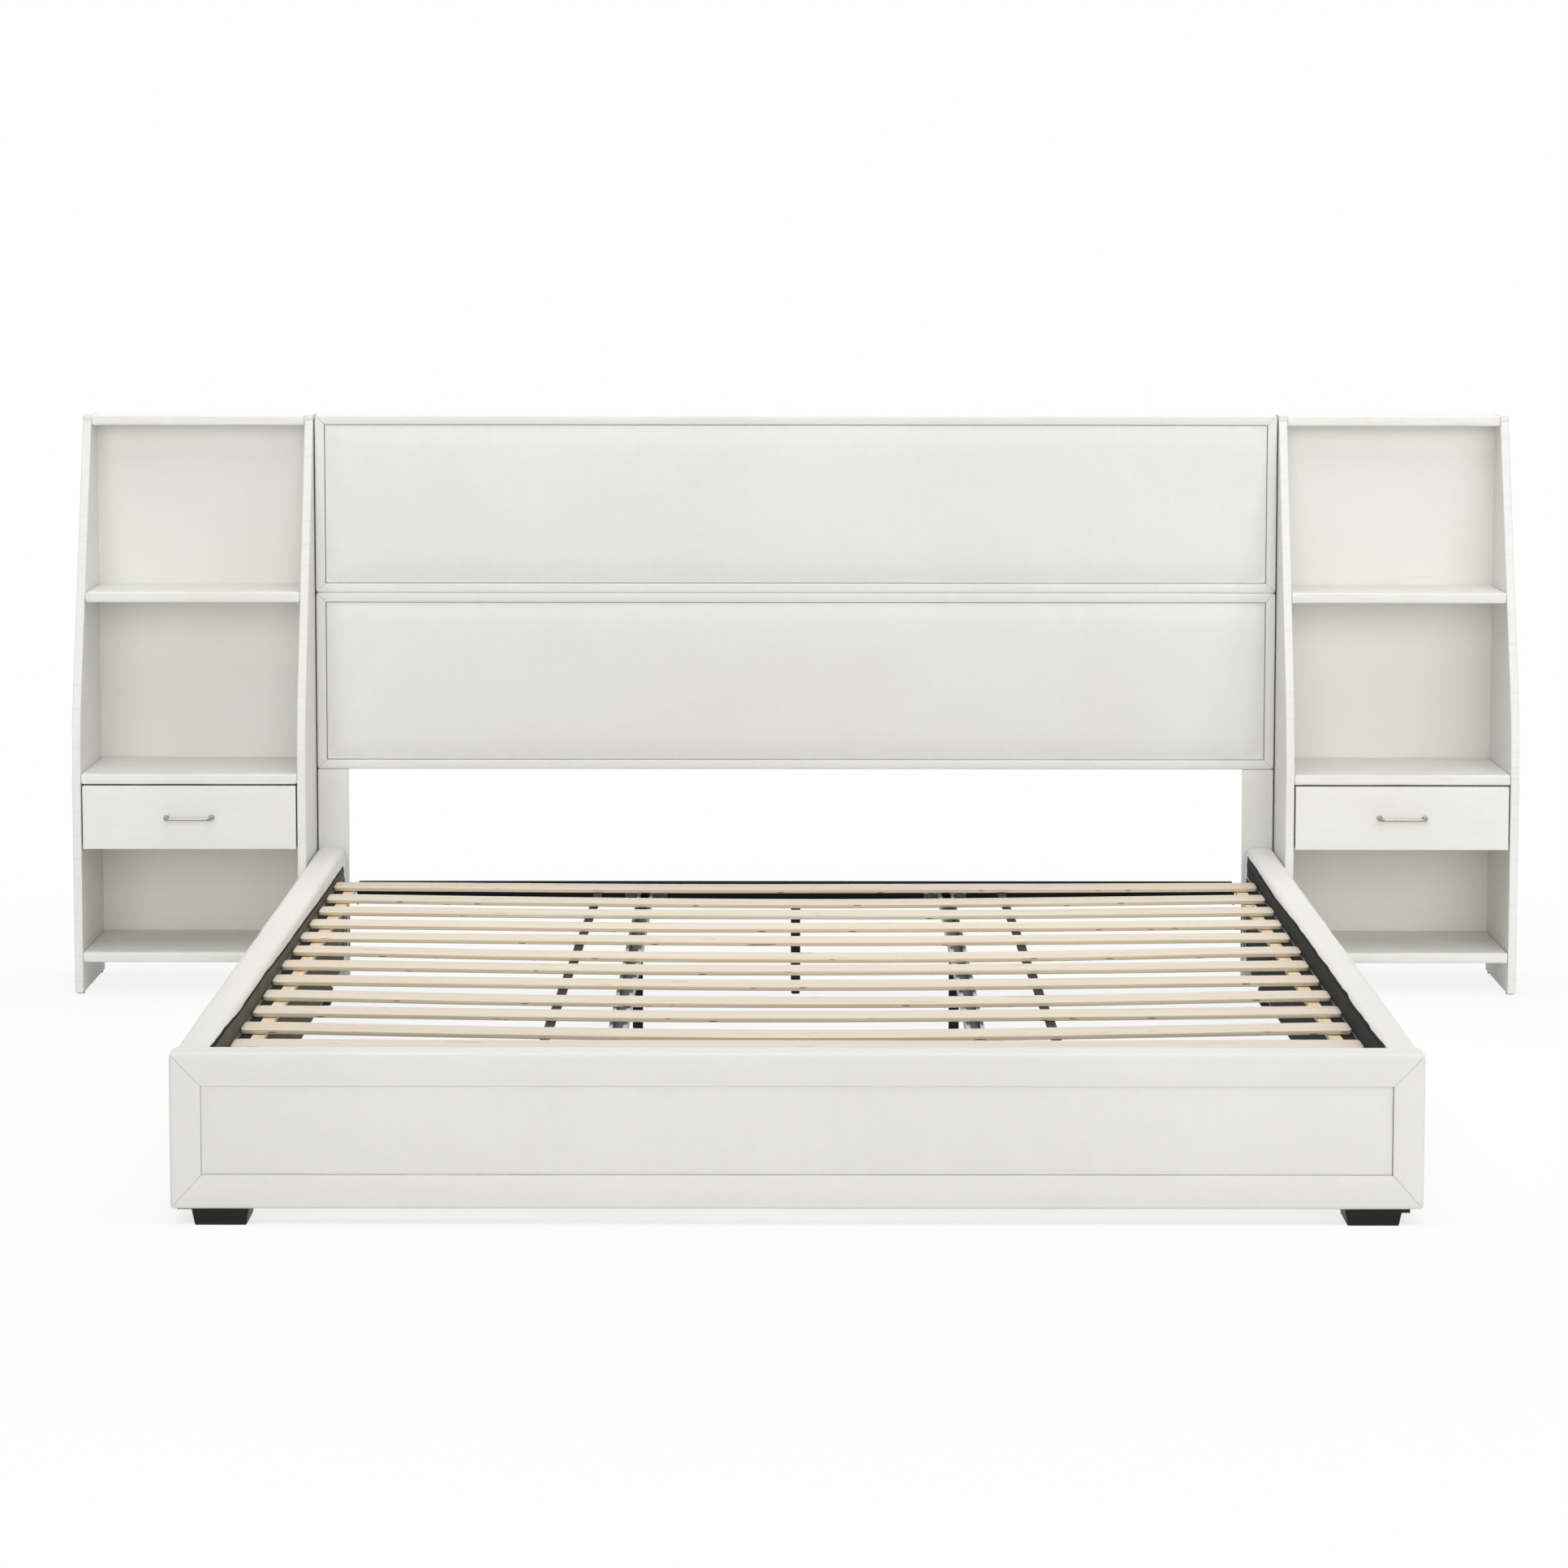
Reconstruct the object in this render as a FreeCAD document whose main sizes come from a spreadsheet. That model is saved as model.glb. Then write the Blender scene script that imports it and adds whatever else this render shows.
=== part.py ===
import FreeCAD, Part
import math
import os
import Sketcher
from FreeCAD import Vector

# King size upholstered platform bed with two attached tapered shelf stands.
# Millimetres, +X to the right, +Y to the wall, +Z up. The origin lies on the floor, under
# the middle of the bed's overall width and depth.

os.makedirs("parts", exist_ok=True)
doc = FreeCAD.newDocument("PlatformBed")
sheet = doc.addObject("Spreadsheet::Sheet", "Sizes")
pieces = []


class Size:
    """A length that keeps both its number and the sheet formula that it comes from."""

    def __init__(self, number, formula):
        self.number = number
        self.formula = formula

    def __add__(self, other):
        return Size(self.number + number_of(other), f"({self.formula} + {formula_of(other)})")

    def __sub__(self, other):
        return Size(self.number - number_of(other), f"({self.formula} - {formula_of(other)})")

    def __mul__(self, other):
        return Size(self.number * number_of(other), f"({self.formula} * {formula_of(other)})")

    def __truediv__(self, other):
        return Size(self.number / number_of(other), f"({self.formula} / {formula_of(other)})")

    def __neg__(self):
        return Size(-self.number, f"(0 - {self.formula})")

    __rmul__ = __mul__


def number_of(value):
    return value.number if isinstance(value, Size) else float(value)


def formula_of(value):
    return value.formula if isinstance(value, Size) else f"{value:.9f}"


def size(name, number):
    """Writes one driving dimension to the sheet and returns it under its alias."""
    size.row += 1
    cell = f"A{size.row}"
    sheet.set(cell, str(number))
    sheet.setAlias(cell, name)
    return Size(float(number), f"Sizes.{name}")


size.row = 0

# Bed base
recess_width = size("recess_width", 1945)
recess_length = size("recess_length", 2050)
rail_thick = size("rail_thick", 58)
rail_height = size("rail_height", 256.5)
foot_height = size("foot_height", 28.5)
core_thick = size("core_thick", 26)
lining_thick = size("lining_thick", 1)
top_padding = size("top_padding", 20)
under_wrap = size("under_wrap", 4)
end_wrap = size("end_wrap", 6)
rail_round = size("rail_round", 15)
low_round = size("low_round", 5)
front_border = size("front_border", 51.5)
front_low_border = size("front_low_border", 57)
front_rail_round = size("front_rail_round", 6)
seam_round = size("seam_round", 5)
seam_width = size("seam_width", 1.2)
seam_depth = size("seam_depth", 2.5)
inset_sink = size("inset_sink", 6)
inset_crown = size("inset_crown", 3)
crown_roll = size("crown_roll", 36)

# Slats and their ledgers
recess_depth = size("recess_depth", 45)
slat_width = size("slat_width", 68)
slat_thick = size("slat_thick", 8)
slat_ease = size("slat_ease", 1.6)
slat_spacing = size("slat_spacing", 143.3)
slat_setback = size("slat_setback", 190)
slat_end_gap = size("slat_end_gap", 4)
ledger_width = size("ledger_width", 47)
ledger_height = size("ledger_height", 12)
ledger_chamfer = size("ledger_chamfer", 4)
lining_flange = size("lining_flange", 25)
tape_width = size("tape_width", 18)
tape_thick = size("tape_thick", 1.2)
tape_back_reach = size("tape_back_reach", 422)
tape_front_reach = size("tape_front_reach", 448)
slat_count = 13

# Steel under the slats
bar_setback = size("bar_setback", 158)
bar_height = size("bar_height", 42)
bar_foot = size("bar_foot", 30)
bar_wall = size("bar_wall", 3)
bar_tab = size("bar_tab", 50)
channel_reach = size("channel_reach", 317)
channel_width = size("channel_width", 32)
channel_height = size("channel_height", 21)
channel_wall = size("channel_wall", 2)
channel_drop = size("channel_drop", 12)
channel_lip = size("channel_lip", 7)
ear_width = size("ear_width", 90)
ear_thick = size("ear_thick", 2.5)
prop_width = size("prop_width", 20)
prop_wall = size("prop_wall", 1.5)
prop_plate = size("prop_plate", 30)
prop_plate_thick = size("prop_plate_thick", 3)
prop_back_setback = size("prop_back_setback", 630)
prop_front_setback = size("prop_front_setback", 1450)
glide_diameter = size("glide_diameter", 18)
glide_height = size("glide_height", 10)
bracket_wall = size("bracket_wall", 3)
bracket_reach = size("bracket_reach", 60)
bracket_height = size("bracket_height", 90)
bracket_rise = size("bracket_rise", 30)
bolt_head = size("bolt_head", 15)
bolt_head_thick = size("bolt_head_thick", 4)
bolt_shank = size("bolt_shank", 7)
bolt_length = size("bolt_length", 9)
bolt_play = size("bolt_play", 0.5)

# Feet of the base
foot_top = size("foot_top", 95)
foot_bottom = size("foot_bottom", 85)
foot_inset = size("foot_inset", 34)
foot_setback = size("foot_setback", 5)
foot_round = size("foot_round", 4)
side_foot_setback = size("side_foot_setback", 310)
side_foot_width = size("side_foot_width", 40)

# Headboard
headboard_clearance = size("headboard_clearance", 454)
panel_height = size("panel_height", 382)
head_border = size("head_border", 20)
head_padding = size("head_padding", 24)
head_core = size("head_core", 50)
head_round = size("head_round", 7)
head_seam_round = size("head_seam_round", 4)
head_sink = size("head_sink", 4)
head_crown = size("head_crown", 4)
head_leg_width = size("head_leg_width", 67)
head_leg_round = size("head_leg_round", 4)
plate_thick = size("plate_thick", 2)
strap_width = size("strap_width", 40)
strap_overlap = size("strap_overlap", 120)
strap_clip = size("strap_clip", 6)
link_width = size("link_width", 90)
link_height = size("link_height", 36)
link_low_level = size("link_low_level", 160)
link_high_level = size("link_high_level", 1090)
backing_margin = size("backing_margin", 14)

# Shelf stands
stand_width = size("stand_width", 492)
stand_gap = size("stand_gap", 3)
stand_reach = size("stand_reach", 196)
side_thick = size("side_thick", 18)
side_round = size("side_round", 2.5)
taper_level = size("taper_level", 562)
taper_round = size("taper_round", 820)
back_thick = size("back_thick", 8)
shelf_thick = size("shelf_thick", 22)
shelf_round = size("shelf_round", 7)
shelf_setback = size("shelf_setback", 1)
middle_level = size("middle_level", 848)
drawer_shelf_level = size("drawer_shelf_level", 471)
bottom_level = size("bottom_level", 91)
pad_diameter = size("pad_diameter", 17)
pad_height = size("pad_height", 4)
pad_inset = size("pad_inset", 22)

# Drawers
front_height = size("front_height", 136)
front_thick = size("front_thick", 18)
front_reveal = size("front_reveal", 2)
front_round = size("front_round", 2)
box_height = size("box_height", 96)
box_depth = size("box_depth", 212)
box_wall = size("box_wall", 12)
box_floor = size("box_floor", 4)
box_rise = size("box_rise", 14)
runner_width = size("runner_width", 12)
runner_height = size("runner_height", 36)
runner_wall = size("runner_wall", 1.5)
runner_lip = size("runner_lip", 4)
runner_play = size("runner_play", 0.3)
slide_wall = size("slide_wall", 1.5)
wire_diameter = size("wire_diameter", 7)
wire_span = size("wire_span", 96)
wire_reach = size("wire_reach", 27)
wire_bend = size("wire_bend", 11)
boss_diameter = size("boss_diameter", 12)
boss_thick = size("boss_thick", 2)

# Places that follow from the sizes
half_recess = recess_width / 2
half_width = half_recess + rail_thick
base_width = recess_width + 2 * rail_thick
head_depth = head_padding + head_core
overall_depth = rail_thick + recess_length + head_depth + plate_thick
front_face = -(overall_depth / 2)
recess_front = front_face + rail_thick
head_face = recess_front + recess_length
back_face = head_face + head_depth
head_top = headboard_clearance + 2 * panel_height
rail_top = foot_height + rail_height
slat_top = rail_top - recess_depth
slat_under = slat_top - slat_thick
ledger_top = slat_under - lining_thick
side_padding = rail_thick - core_thick - lining_thick
channel_under = slat_under - channel_drop - channel_height
rail_back = head_face - bracket_wall
rail_run = rail_back - recess_front
bar_face = head_face - bar_setback
ledger_run = bar_face - recess_front
bar_low = channel_under - bar_wall
bolt_hole = (bolt_shank + bolt_play) / 2
ear_side = (ear_width - channel_width) / 2
ear_bolt = (ear_width + channel_width) / 4


def piece(thing, label):
    """Gives a finished sub-part its name and keeps it for the export."""
    thing.Label = label
    pieces.append(thing)
    return thing


def place(thing, x, y, z):
    for axis, value in (("x", x), ("y", y), ("z", z)):
        thing.setExpression(f"Placement.Base.{axis}", formula_of(value))


def new_body(name):
    return doc.addObject("PartDesign::Body", name)


def origin_plane(body, role):
    for feature in body.Origin.OriginFeatures:
        if feature.Role == role:
            return feature


def new_sketch(body, role, lift=0):
    """A sketch on one of the body's own origin planes, lifted along the plane's normal."""
    sketch = body.newObject("Sketcher::SketchObject", body.Name + "_outline")
    sketch.AttachmentSupport = [(origin_plane(body, role), "")]
    sketch.MapMode = "FlatFace"
    if isinstance(lift, Size):
        sketch.setExpression("AttachmentOffset.Base.z", formula_of(lift))
    return sketch


def hold(sketch, kind, line, point, value):
    """Holds one coordinate of a point: on the sketch's axis for zero, else by a driving distance."""
    if not isinstance(value, Size):
        axis = -2 if kind == "DistanceX" else -1
        sketch.addConstraint(Sketcher.Constraint("PointOnObject", line, point, axis))
        return
    index = sketch.addConstraint(Sketcher.Constraint(kind, line, point, value.number))
    name = f"{kind}{line}_{point}"
    sketch.renameConstraint(index, name)
    sketch.setExpression("Constraints." + name, formula_of(value))


def hold_radius(sketch, curve, value):
    index = sketch.addConstraint(Sketcher.Constraint("Radius", curve, value.number))
    sketch.renameConstraint(index, f"Radius{curve}")
    sketch.setExpression(f"Constraints.Radius{curve}", formula_of(value))


def add_corners(sketch, corners):
    """A closed run of straight lines through the named corners."""
    first = sketch.GeometryCount
    count = len(corners)
    points = [Vector(number_of(x), number_of(y), 0) for x, y in corners]
    for k in range(count):
        sketch.addGeometry(Part.LineSegment(points[k], points[(k + 1) % count]), False)
    for k in range(count):
        sketch.addConstraint(
            Sketcher.Constraint("Coincident", first + k, 2, first + (k + 1) % count, 1))
    for k, (x, y) in enumerate(corners):
        hold(sketch, "DistanceX", first + k, 1, x)
        hold(sketch, "DistanceY", first + k, 1, y)


def add_rectangle(sketch, left, low, right, high):
    add_corners(sketch, [(left, low), (right, low), (right, high), (left, high)])


def add_clipped(sketch, width, height, clip):
    """A rectangle from the origin whose four corners are cut at 45 degrees."""
    add_corners(sketch, [(clip, 0), (width - clip, 0), (width, clip), (width, height - clip),
                         (width - clip, height), (clip, height), (0, height - clip), (0, clip)])


def add_rounded(sketch, left, low, right, high, radius):
    """A rectangle whose four corners are tangent arcs of one radius."""
    first = sketch.GeometryCount
    x0, y0, x1, y1, r = [number_of(v) for v in (left, low, right, high, radius)]
    turns = [(x1 - r, y0 + r, -0.5), (x1 - r, y1 - r, 0), (x0 + r, y1 - r, 0.5), (x0 + r, y0 + r, 1)]
    ends = [(Vector(x0 + r, y0, 0), Vector(x1 - r, y0, 0)), (Vector(x1, y0 + r, 0), Vector(x1, y1 - r, 0)),
            (Vector(x1 - r, y1, 0), Vector(x0 + r, y1, 0)), (Vector(x0, y1 - r, 0), Vector(x0, y0 + r, 0))]
    for (start, stop), (cx, cy, turn) in zip(ends, turns):
        sketch.addGeometry(Part.LineSegment(start, stop), False)
        circle = Part.Circle(Vector(cx, cy, 0), Vector(0, 0, 1), r)
        sketch.addGeometry(Part.ArcOfCircle(circle, turn * math.pi, (turn + 0.5) * math.pi), False)
    for k in range(4):
        line = first + 2 * k
        following = first + (2 * k + 2) % 8
        sketch.addConstraint(Sketcher.Constraint("Tangent", line, 2, line + 1, 1))
        sketch.addConstraint(Sketcher.Constraint("Tangent", line + 1, 2, following, 1))
        hold_radius(sketch, line + 1, radius)
    for line, kind, value in ((0, "DistanceY", low), (2, "DistanceX", right),
                              (4, "DistanceY", high), (6, "DistanceX", left)):
        hold(sketch, kind, first + line, 1, value)
    for line, way in ((0, "Horizontal"), (2, "Vertical"), (4, "Horizontal"), (6, "Vertical")):
        sketch.addConstraint(Sketcher.Constraint(way, first + line))


def add_circle(sketch, x, y, radius):
    circle = sketch.addGeometry(
        Part.Circle(Vector(number_of(x), number_of(y), 0), Vector(0, 0, 1), radius.number), False)
    hold(sketch, "DistanceX", circle, 3, x)
    hold(sketch, "DistanceY", circle, 3, y)
    hold_radius(sketch, circle, radius)


def pad(body, sketch, length, back=False):
    feature = body.newObject("PartDesign::Pad", body.Name + "_pad")
    feature.Profile = sketch
    feature.setExpression("Length", formula_of(length))
    feature.Reversed = back
    return feature


def pocket(body, sketch, depth):
    """Cuts into the solid from the sketch, and stops if nothing was cut."""
    doc.recompute()
    before = body.Shape.Volume
    feature = body.newObject("PartDesign::Pocket", body.Name + "_pocket")
    feature.Profile = sketch
    feature.setExpression("Length", formula_of(depth))
    doc.recompute()
    if not body.Shape.Volume < before:
        raise RuntimeError(body.Name + ": the pocket cuts nothing")
    return feature


def same(a, b):
    return abs(a - number_of(b)) < 0.001


def lies(edge, x=None, y=None, z=None):
    """True for an edge whose points all have the given coordinates."""
    for vertex in edge.Vertexes:
        for found, wanted in ((vertex.X, x), (vertex.Y, y), (vertex.Z, z)):
            if wanted is not None and not same(found, wanted):
                return False
    return True


def soften(body, base, radius, chosen):
    """Rounds the edges of the base feature that the test picks."""
    doc.recompute()
    names = [f"Edge{k}" for k, edge in enumerate(base.Shape.Edges, 1) if chosen(edge)]
    feature = body.newObject("PartDesign::Fillet", body.Name + "_round")
    feature.Base = (base, names)
    feature.setExpression("Radius", formula_of(radius))
    return feature


def repeat(body, originals, role, step, count):
    """Repeats features along one of the body's own axes, a fixed step apart."""
    pattern = body.newObject("PartDesign::LinearPattern", body.Name + "_row")
    pattern.Originals = originals
    pattern.Direction = (origin_plane(body, role), [""])
    pattern.setExpression("Length", formula_of(step * (count - 1)))
    pattern.Occurrences = count
    body.Tip = pattern
    return pattern


def mirrored(source, label):
    """The right hand twin of a left hand piece."""
    twin = doc.addObject("Part::Mirroring", label)
    twin.Source = source
    twin.Normal = Vector(1, 0, 0)
    return piece(twin, label)


def both_sides(build, name):
    """Builds the left hand piece and mirrors it to the right."""
    left = piece(build(name + "_left"), name + "_left")
    mirrored(left, name + "_right")
    return left


def grouped(label, members):
    """Identical pieces of hardware that share one node, as separate solids."""
    group = doc.addObject("Part::Compound", label)
    group.Links = members
    return piece(group, label)


# Upholstered panels

def wrapped_frame(name, width, height, border, depth, outer_round, inner_round):
    """A padded frame wrapped in one skin, with a mitred seam at each corner. Front toward -Y."""
    body = new_body(name)
    outline = new_sketch(body, "XZ_Plane")
    add_rectangle(outline, 0, 0, width, height)
    add_rectangle(outline, border, border, width - border, height - border)
    frame = pad(body, outline, depth)
    front = -depth
    outer = soften(body, frame, outer_round, lambda edge: lies(edge, y=front) and (
        lies(edge, x=0) or lies(edge, x=width) or lies(edge, z=0) or lies(edge, z=height)))
    inner = soften(body, outer, inner_round, lambda edge: lies(edge, y=front) and (
        lies(edge, x=border) or lies(edge, x=width - border)
        or lies(edge, z=border) or lies(edge, z=height - border)))
    body.Tip = inner
    cut_mitres(body, width, height, border, border, depth)
    return body


def cut_mitres(body, width, height, border, low_border, depth):
    """Sinks the stitched mitre seams into the frame's front face, from corner to corner."""
    seams = new_sketch(body, "XZ_Plane", depth)
    high = height - border
    for rim, corner in ((0, border), (width, width - border)):
        add_corners(seams, [(rim, 0), (corner, low_border), (corner, low_border + seam_width),
                            (rim, seam_width)])
        add_corners(seams, [(rim, height), (corner, high), (corner, high - seam_width),
                            (rim, height - seam_width)])
    pocket(body, seams, seam_depth)


def crowned_panel(name, width, height, edge_depth, crown, roll):
    """A padded panel: straight rim, then a soft roll up to a raised middle. Front toward -Y."""
    body = new_body(name)
    rim = new_sketch(body, "XZ_Plane")
    add_rectangle(rim, 0, 0, width, height)
    pad(body, rim, edge_depth)
    foot = new_sketch(body, "XZ_Plane", edge_depth)
    add_rectangle(foot, 0, 0, width, height)
    head = new_sketch(body, "XZ_Plane", edge_depth + crown)
    add_rectangle(head, roll, roll, width - roll, height - roll)
    loft = body.newObject("PartDesign::AdditiveLoft", name + "_crown")
    loft.Profile = foot
    loft.Sections = [head]
    loft.Ruled = True
    return body


# Headboard

def headboard_level(name, low):
    """One of the two stacked headboard panels: core, wrapped border and crowned middle."""
    core = new_body("headboard_core_" + name)
    outline = new_sketch(core, "XZ_Plane")
    add_rectangle(outline, 0, 0, base_width, panel_height)
    board = pad(core, outline, head_core)
    soften(core, board, head_leg_round, lambda edge: lies(edge, y=0))
    place(core, -half_width, back_face, low)
    piece(core, "headboard_core_" + name)

    border = wrapped_frame("headboard_border_" + name, base_width, panel_height, head_border,
                           head_padding, head_round, head_seam_round)
    place(border, -half_width, head_face + head_padding, low)
    piece(border, "headboard_border_" + name)

    panel = crowned_panel("headboard_pad_" + name, base_width - 2 * head_border,
                          panel_height - 2 * head_border, head_padding - head_sink, head_crown,
                          crown_roll)
    place(panel, -half_width + head_border, head_face + head_padding, low + head_border)
    piece(panel, "headboard_pad_" + name)


def headboard_leg(name):
    body = new_body(name)
    outline = new_sketch(body, "XY_Plane")
    add_rounded(outline, 0, 0, head_leg_width, head_depth, head_leg_round)
    pad(body, outline, headboard_clearance)
    place(body, -half_width, head_face, 0)
    return body


def steel_plate(name, width, height):
    """A flat steel plate with clipped corners. Front toward -Y."""
    body = new_body(name)
    outline = new_sketch(body, "XZ_Plane")
    add_clipped(outline, width, height, strap_clip)
    pad(body, outline, plate_thick)
    return body


def headboard_strap(name):
    """A steel strap behind the leg and both headboard panels."""
    body = steel_plate(name, strap_width, panel_height + 2 * strap_overlap)
    place(body, -half_width + (head_leg_width - strap_width) / 2, back_face + plate_thick,
          headboard_clearance - strap_overlap)
    return body


def link_plate(name, level):
    """A steel plate behind the joint between a stand and the headboard."""
    body = steel_plate(name, link_width, link_height)
    place(body, -half_width - (stand_gap + link_width) / 2, back_face + plate_thick, level)
    return body


def backing_sheet(name):
    """The thin cloth that closes the back of the headboard, between the straps."""
    body = new_body(name)
    outline = new_sketch(body, "XZ_Plane")
    margin = head_leg_width + backing_margin
    add_rectangle(outline, 0, 0, base_width - 2 * margin, 2 * panel_height - 2 * backing_margin)
    pad(body, outline, lining_thick)
    place(body, -half_width + margin, back_face + lining_thick, headboard_clearance + backing_margin)
    return body


def build_headboard():
    headboard_level("lower", headboard_clearance)
    headboard_level("upper", headboard_clearance + panel_height)
    both_sides(headboard_leg, "headboard_leg")
    plates = [headboard_strap("strap"), link_plate("low_link", link_low_level),
              link_plate("high_link", link_high_level)]
    grouped("back_plates", plates + [twin_of(plate) for plate in plates])
    piece(backing_sheet("headboard_backing"), "headboard_backing")


def twin_of(source):
    """The mirror image of one member of a group."""
    twin = doc.addObject("Part::Mirroring", source.Name + "_twin")
    twin.Source = source
    twin.Normal = Vector(1, 0, 0)
    return twin


# Bed base

def rail_core(name):
    """The timber board inside a side rail."""
    body = new_body(name)
    outline = new_sketch(body, "XZ_Plane")
    add_rectangle(outline, 0, 0, core_thick, rail_height - top_padding - under_wrap)
    pad(body, outline, rail_run)
    place(body, -half_width + side_padding, rail_back, foot_height + under_wrap)
    return body


def rail_cover(name):
    """The padded skin of a side rail: outer face, rounded top and the wrap under the board."""
    body = new_body(name)
    outline = new_sketch(body, "XZ_Plane")
    lip = rail_height - top_padding
    add_corners(outline, [(0, 0), (rail_thick, 0), (rail_thick, under_wrap), (side_padding, under_wrap),
                          (side_padding, lip), (rail_thick, lip), (rail_thick, rail_height),
                          (0, rail_height)])
    skin = pad(body, outline, rail_run)
    top = soften(body, skin, rail_round, lambda edge: lies(edge, z=rail_height) and (
        lies(edge, x=0) or lies(edge, x=rail_thick) or lies(edge, y=0)))
    soften(body, top, low_round, lambda edge: lies(edge, x=0, z=0))
    place(body, -half_width, rail_back, foot_height)
    return body


def rail_lining(name):
    """The cloth on a rail's inner face, with its flange turned in over the ledger."""
    body = new_body(name)
    outline = new_sketch(body, "XZ_Plane")
    level = ledger_top - foot_height - under_wrap
    top = rail_height - top_padding - under_wrap
    add_corners(outline, [(0, 0), (lining_thick, 0), (lining_thick, level),
                          (lining_thick + lining_flange, level),
                          (lining_thick + lining_flange, level + lining_thick),
                          (lining_thick, level + lining_thick), (lining_thick, top), (0, top)])
    pad(body, outline, rail_run)
    place(body, -half_recess - lining_thick, rail_back, foot_height + under_wrap)
    return body


def slat_ledger(name):
    """The batten that the slat ends rest on."""
    body = new_body(name)
    outline = new_sketch(body, "XZ_Plane")
    add_corners(outline, [(0, 0), (ledger_width - ledger_chamfer, 0), (ledger_width, ledger_chamfer),
                          (ledger_width, ledger_height), (0, ledger_height)])
    pad(body, outline, ledger_run)
    place(body, -half_recess, bar_face, ledger_top - ledger_height)
    return body


def front_core(name):
    body = new_body(name)
    outline = new_sketch(body, "XZ_Plane")
    add_rectangle(outline, 0, 0, base_width - 2 * end_wrap, rail_height - top_padding - under_wrap)
    pad(body, outline, core_thick)
    place(body, -half_width + end_wrap, recess_front - lining_thick, foot_height + under_wrap)
    return body


def front_frame(name):
    """The wrapped frame of the front rail, carried back over the board's top, ends and underside."""
    body = new_body(name)
    outline = new_sketch(body, "XZ_Plane")
    add_rectangle(outline, 0, 0, base_width, rail_height)
    add_rectangle(outline, front_border, front_low_border, base_width - front_border,
                  rail_height - front_border)
    frame = pad(body, outline, side_padding)
    wrap = new_sketch(body, "XZ_Plane")
    add_rectangle(wrap, 0, 0, base_width, rail_height)
    add_rectangle(wrap, end_wrap, under_wrap, base_width - end_wrap, rail_height - top_padding)
    skin = pad(body, wrap, rail_thick - side_padding, back=True)
    front = -side_padding
    back = rail_thick - side_padding
    outer = soften(body, skin, front_rail_round, lambda edge: lies(edge, z=rail_height) and (
        lies(edge, y=front) or lies(edge, y=back)))
    low = soften(body, outer, low_round, lambda edge: lies(edge, y=front) and (
        lies(edge, z=0) or lies(edge, x=0) or lies(edge, x=base_width)))
    inner = soften(body, low, seam_round, lambda edge: lies(edge, y=front) and (
        lies(edge, x=front_border) or lies(edge, x=base_width - front_border)
        or lies(edge, z=front_low_border) or lies(edge, z=rail_height - front_border)))
    body.Tip = inner
    cut_mitres(body, base_width, rail_height, front_border, front_low_border, side_padding)
    place(body, -half_width, front_face + side_padding, foot_height)
    return body


def front_pad(name):
    body = crowned_panel(name, base_width - 2 * front_border,
                         rail_height - front_border - front_low_border,
                         side_padding - inset_sink, inset_crown, crown_roll)
    place(body, -half_width + front_border, front_face + side_padding,
          foot_height + front_low_border)
    return body


def front_lining(name):
    body = new_body(name)
    outline = new_sketch(body, "XZ_Plane")
    add_rectangle(outline, 0, 0, recess_width, rail_height - top_padding - under_wrap)
    pad(body, outline, lining_thick)
    place(body, -half_recess, recess_front, foot_height + under_wrap)
    return body


def corner_bracket(name):
    """A steel angle that ties the front rail to a side rail, below the ledger."""
    body = new_body(name)
    outline = new_sketch(body, "XY_Plane")
    add_corners(outline, [(0, 0), (bracket_reach, 0), (bracket_reach, bracket_wall),
                          (bracket_wall, bracket_wall), (bracket_wall, bracket_reach),
                          (0, bracket_reach)])
    pad(body, outline, bracket_height)
    place(body, -half_recess, recess_front, foot_height + bracket_rise)
    return body


def head_bracket(name):
    """A steel angle between a side rail's inner face and the front of the headboard leg."""
    body = new_body(name)
    outline = new_sketch(body, "XY_Plane")
    inner = head_leg_width - rail_thick
    outer = rail_thick - side_padding
    add_corners(outline, [(0, 0), (bracket_wall, 0), (bracket_wall, bracket_reach - bracket_wall),
                          (inner, bracket_reach - bracket_wall), (inner, bracket_reach),
                          (-outer, bracket_reach), (-outer, bracket_reach - bracket_wall),
                          (0, bracket_reach - bracket_wall)])
    pad(body, outline, bracket_height)
    place(body, -half_recess, head_face - bracket_reach, foot_height + bracket_rise)
    return body


def base_foot(name):
    """A black block foot that tapers toward the floor."""
    body = new_body(name)
    floor = new_sketch(body, "XY_Plane")
    slope = (foot_top - foot_bottom) / 2
    add_rounded(floor, slope, slope, slope + foot_bottom, slope + foot_bottom, foot_round)
    head = new_sketch(body, "XY_Plane", foot_height)
    add_rounded(head, 0, 0, foot_top, foot_top, foot_round)
    loft = body.newObject("PartDesign::AdditiveLoft", name + "_taper")
    loft.Profile = floor
    loft.Sections = [head]
    loft.Ruled = True
    place(body, -half_width + foot_inset, front_face + foot_setback, 0)
    return body


def side_foot(name):
    """A narrow block under a side rail, near the head end."""
    body = new_body(name)
    outline = new_sketch(body, "XY_Plane")
    add_clipped(outline, side_foot_width, side_foot_width * 3 / 2, foot_round)
    pad(body, outline, foot_height)
    place(body, -half_recess - side_foot_width, head_face - side_foot_setback, 0)
    return body


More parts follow.
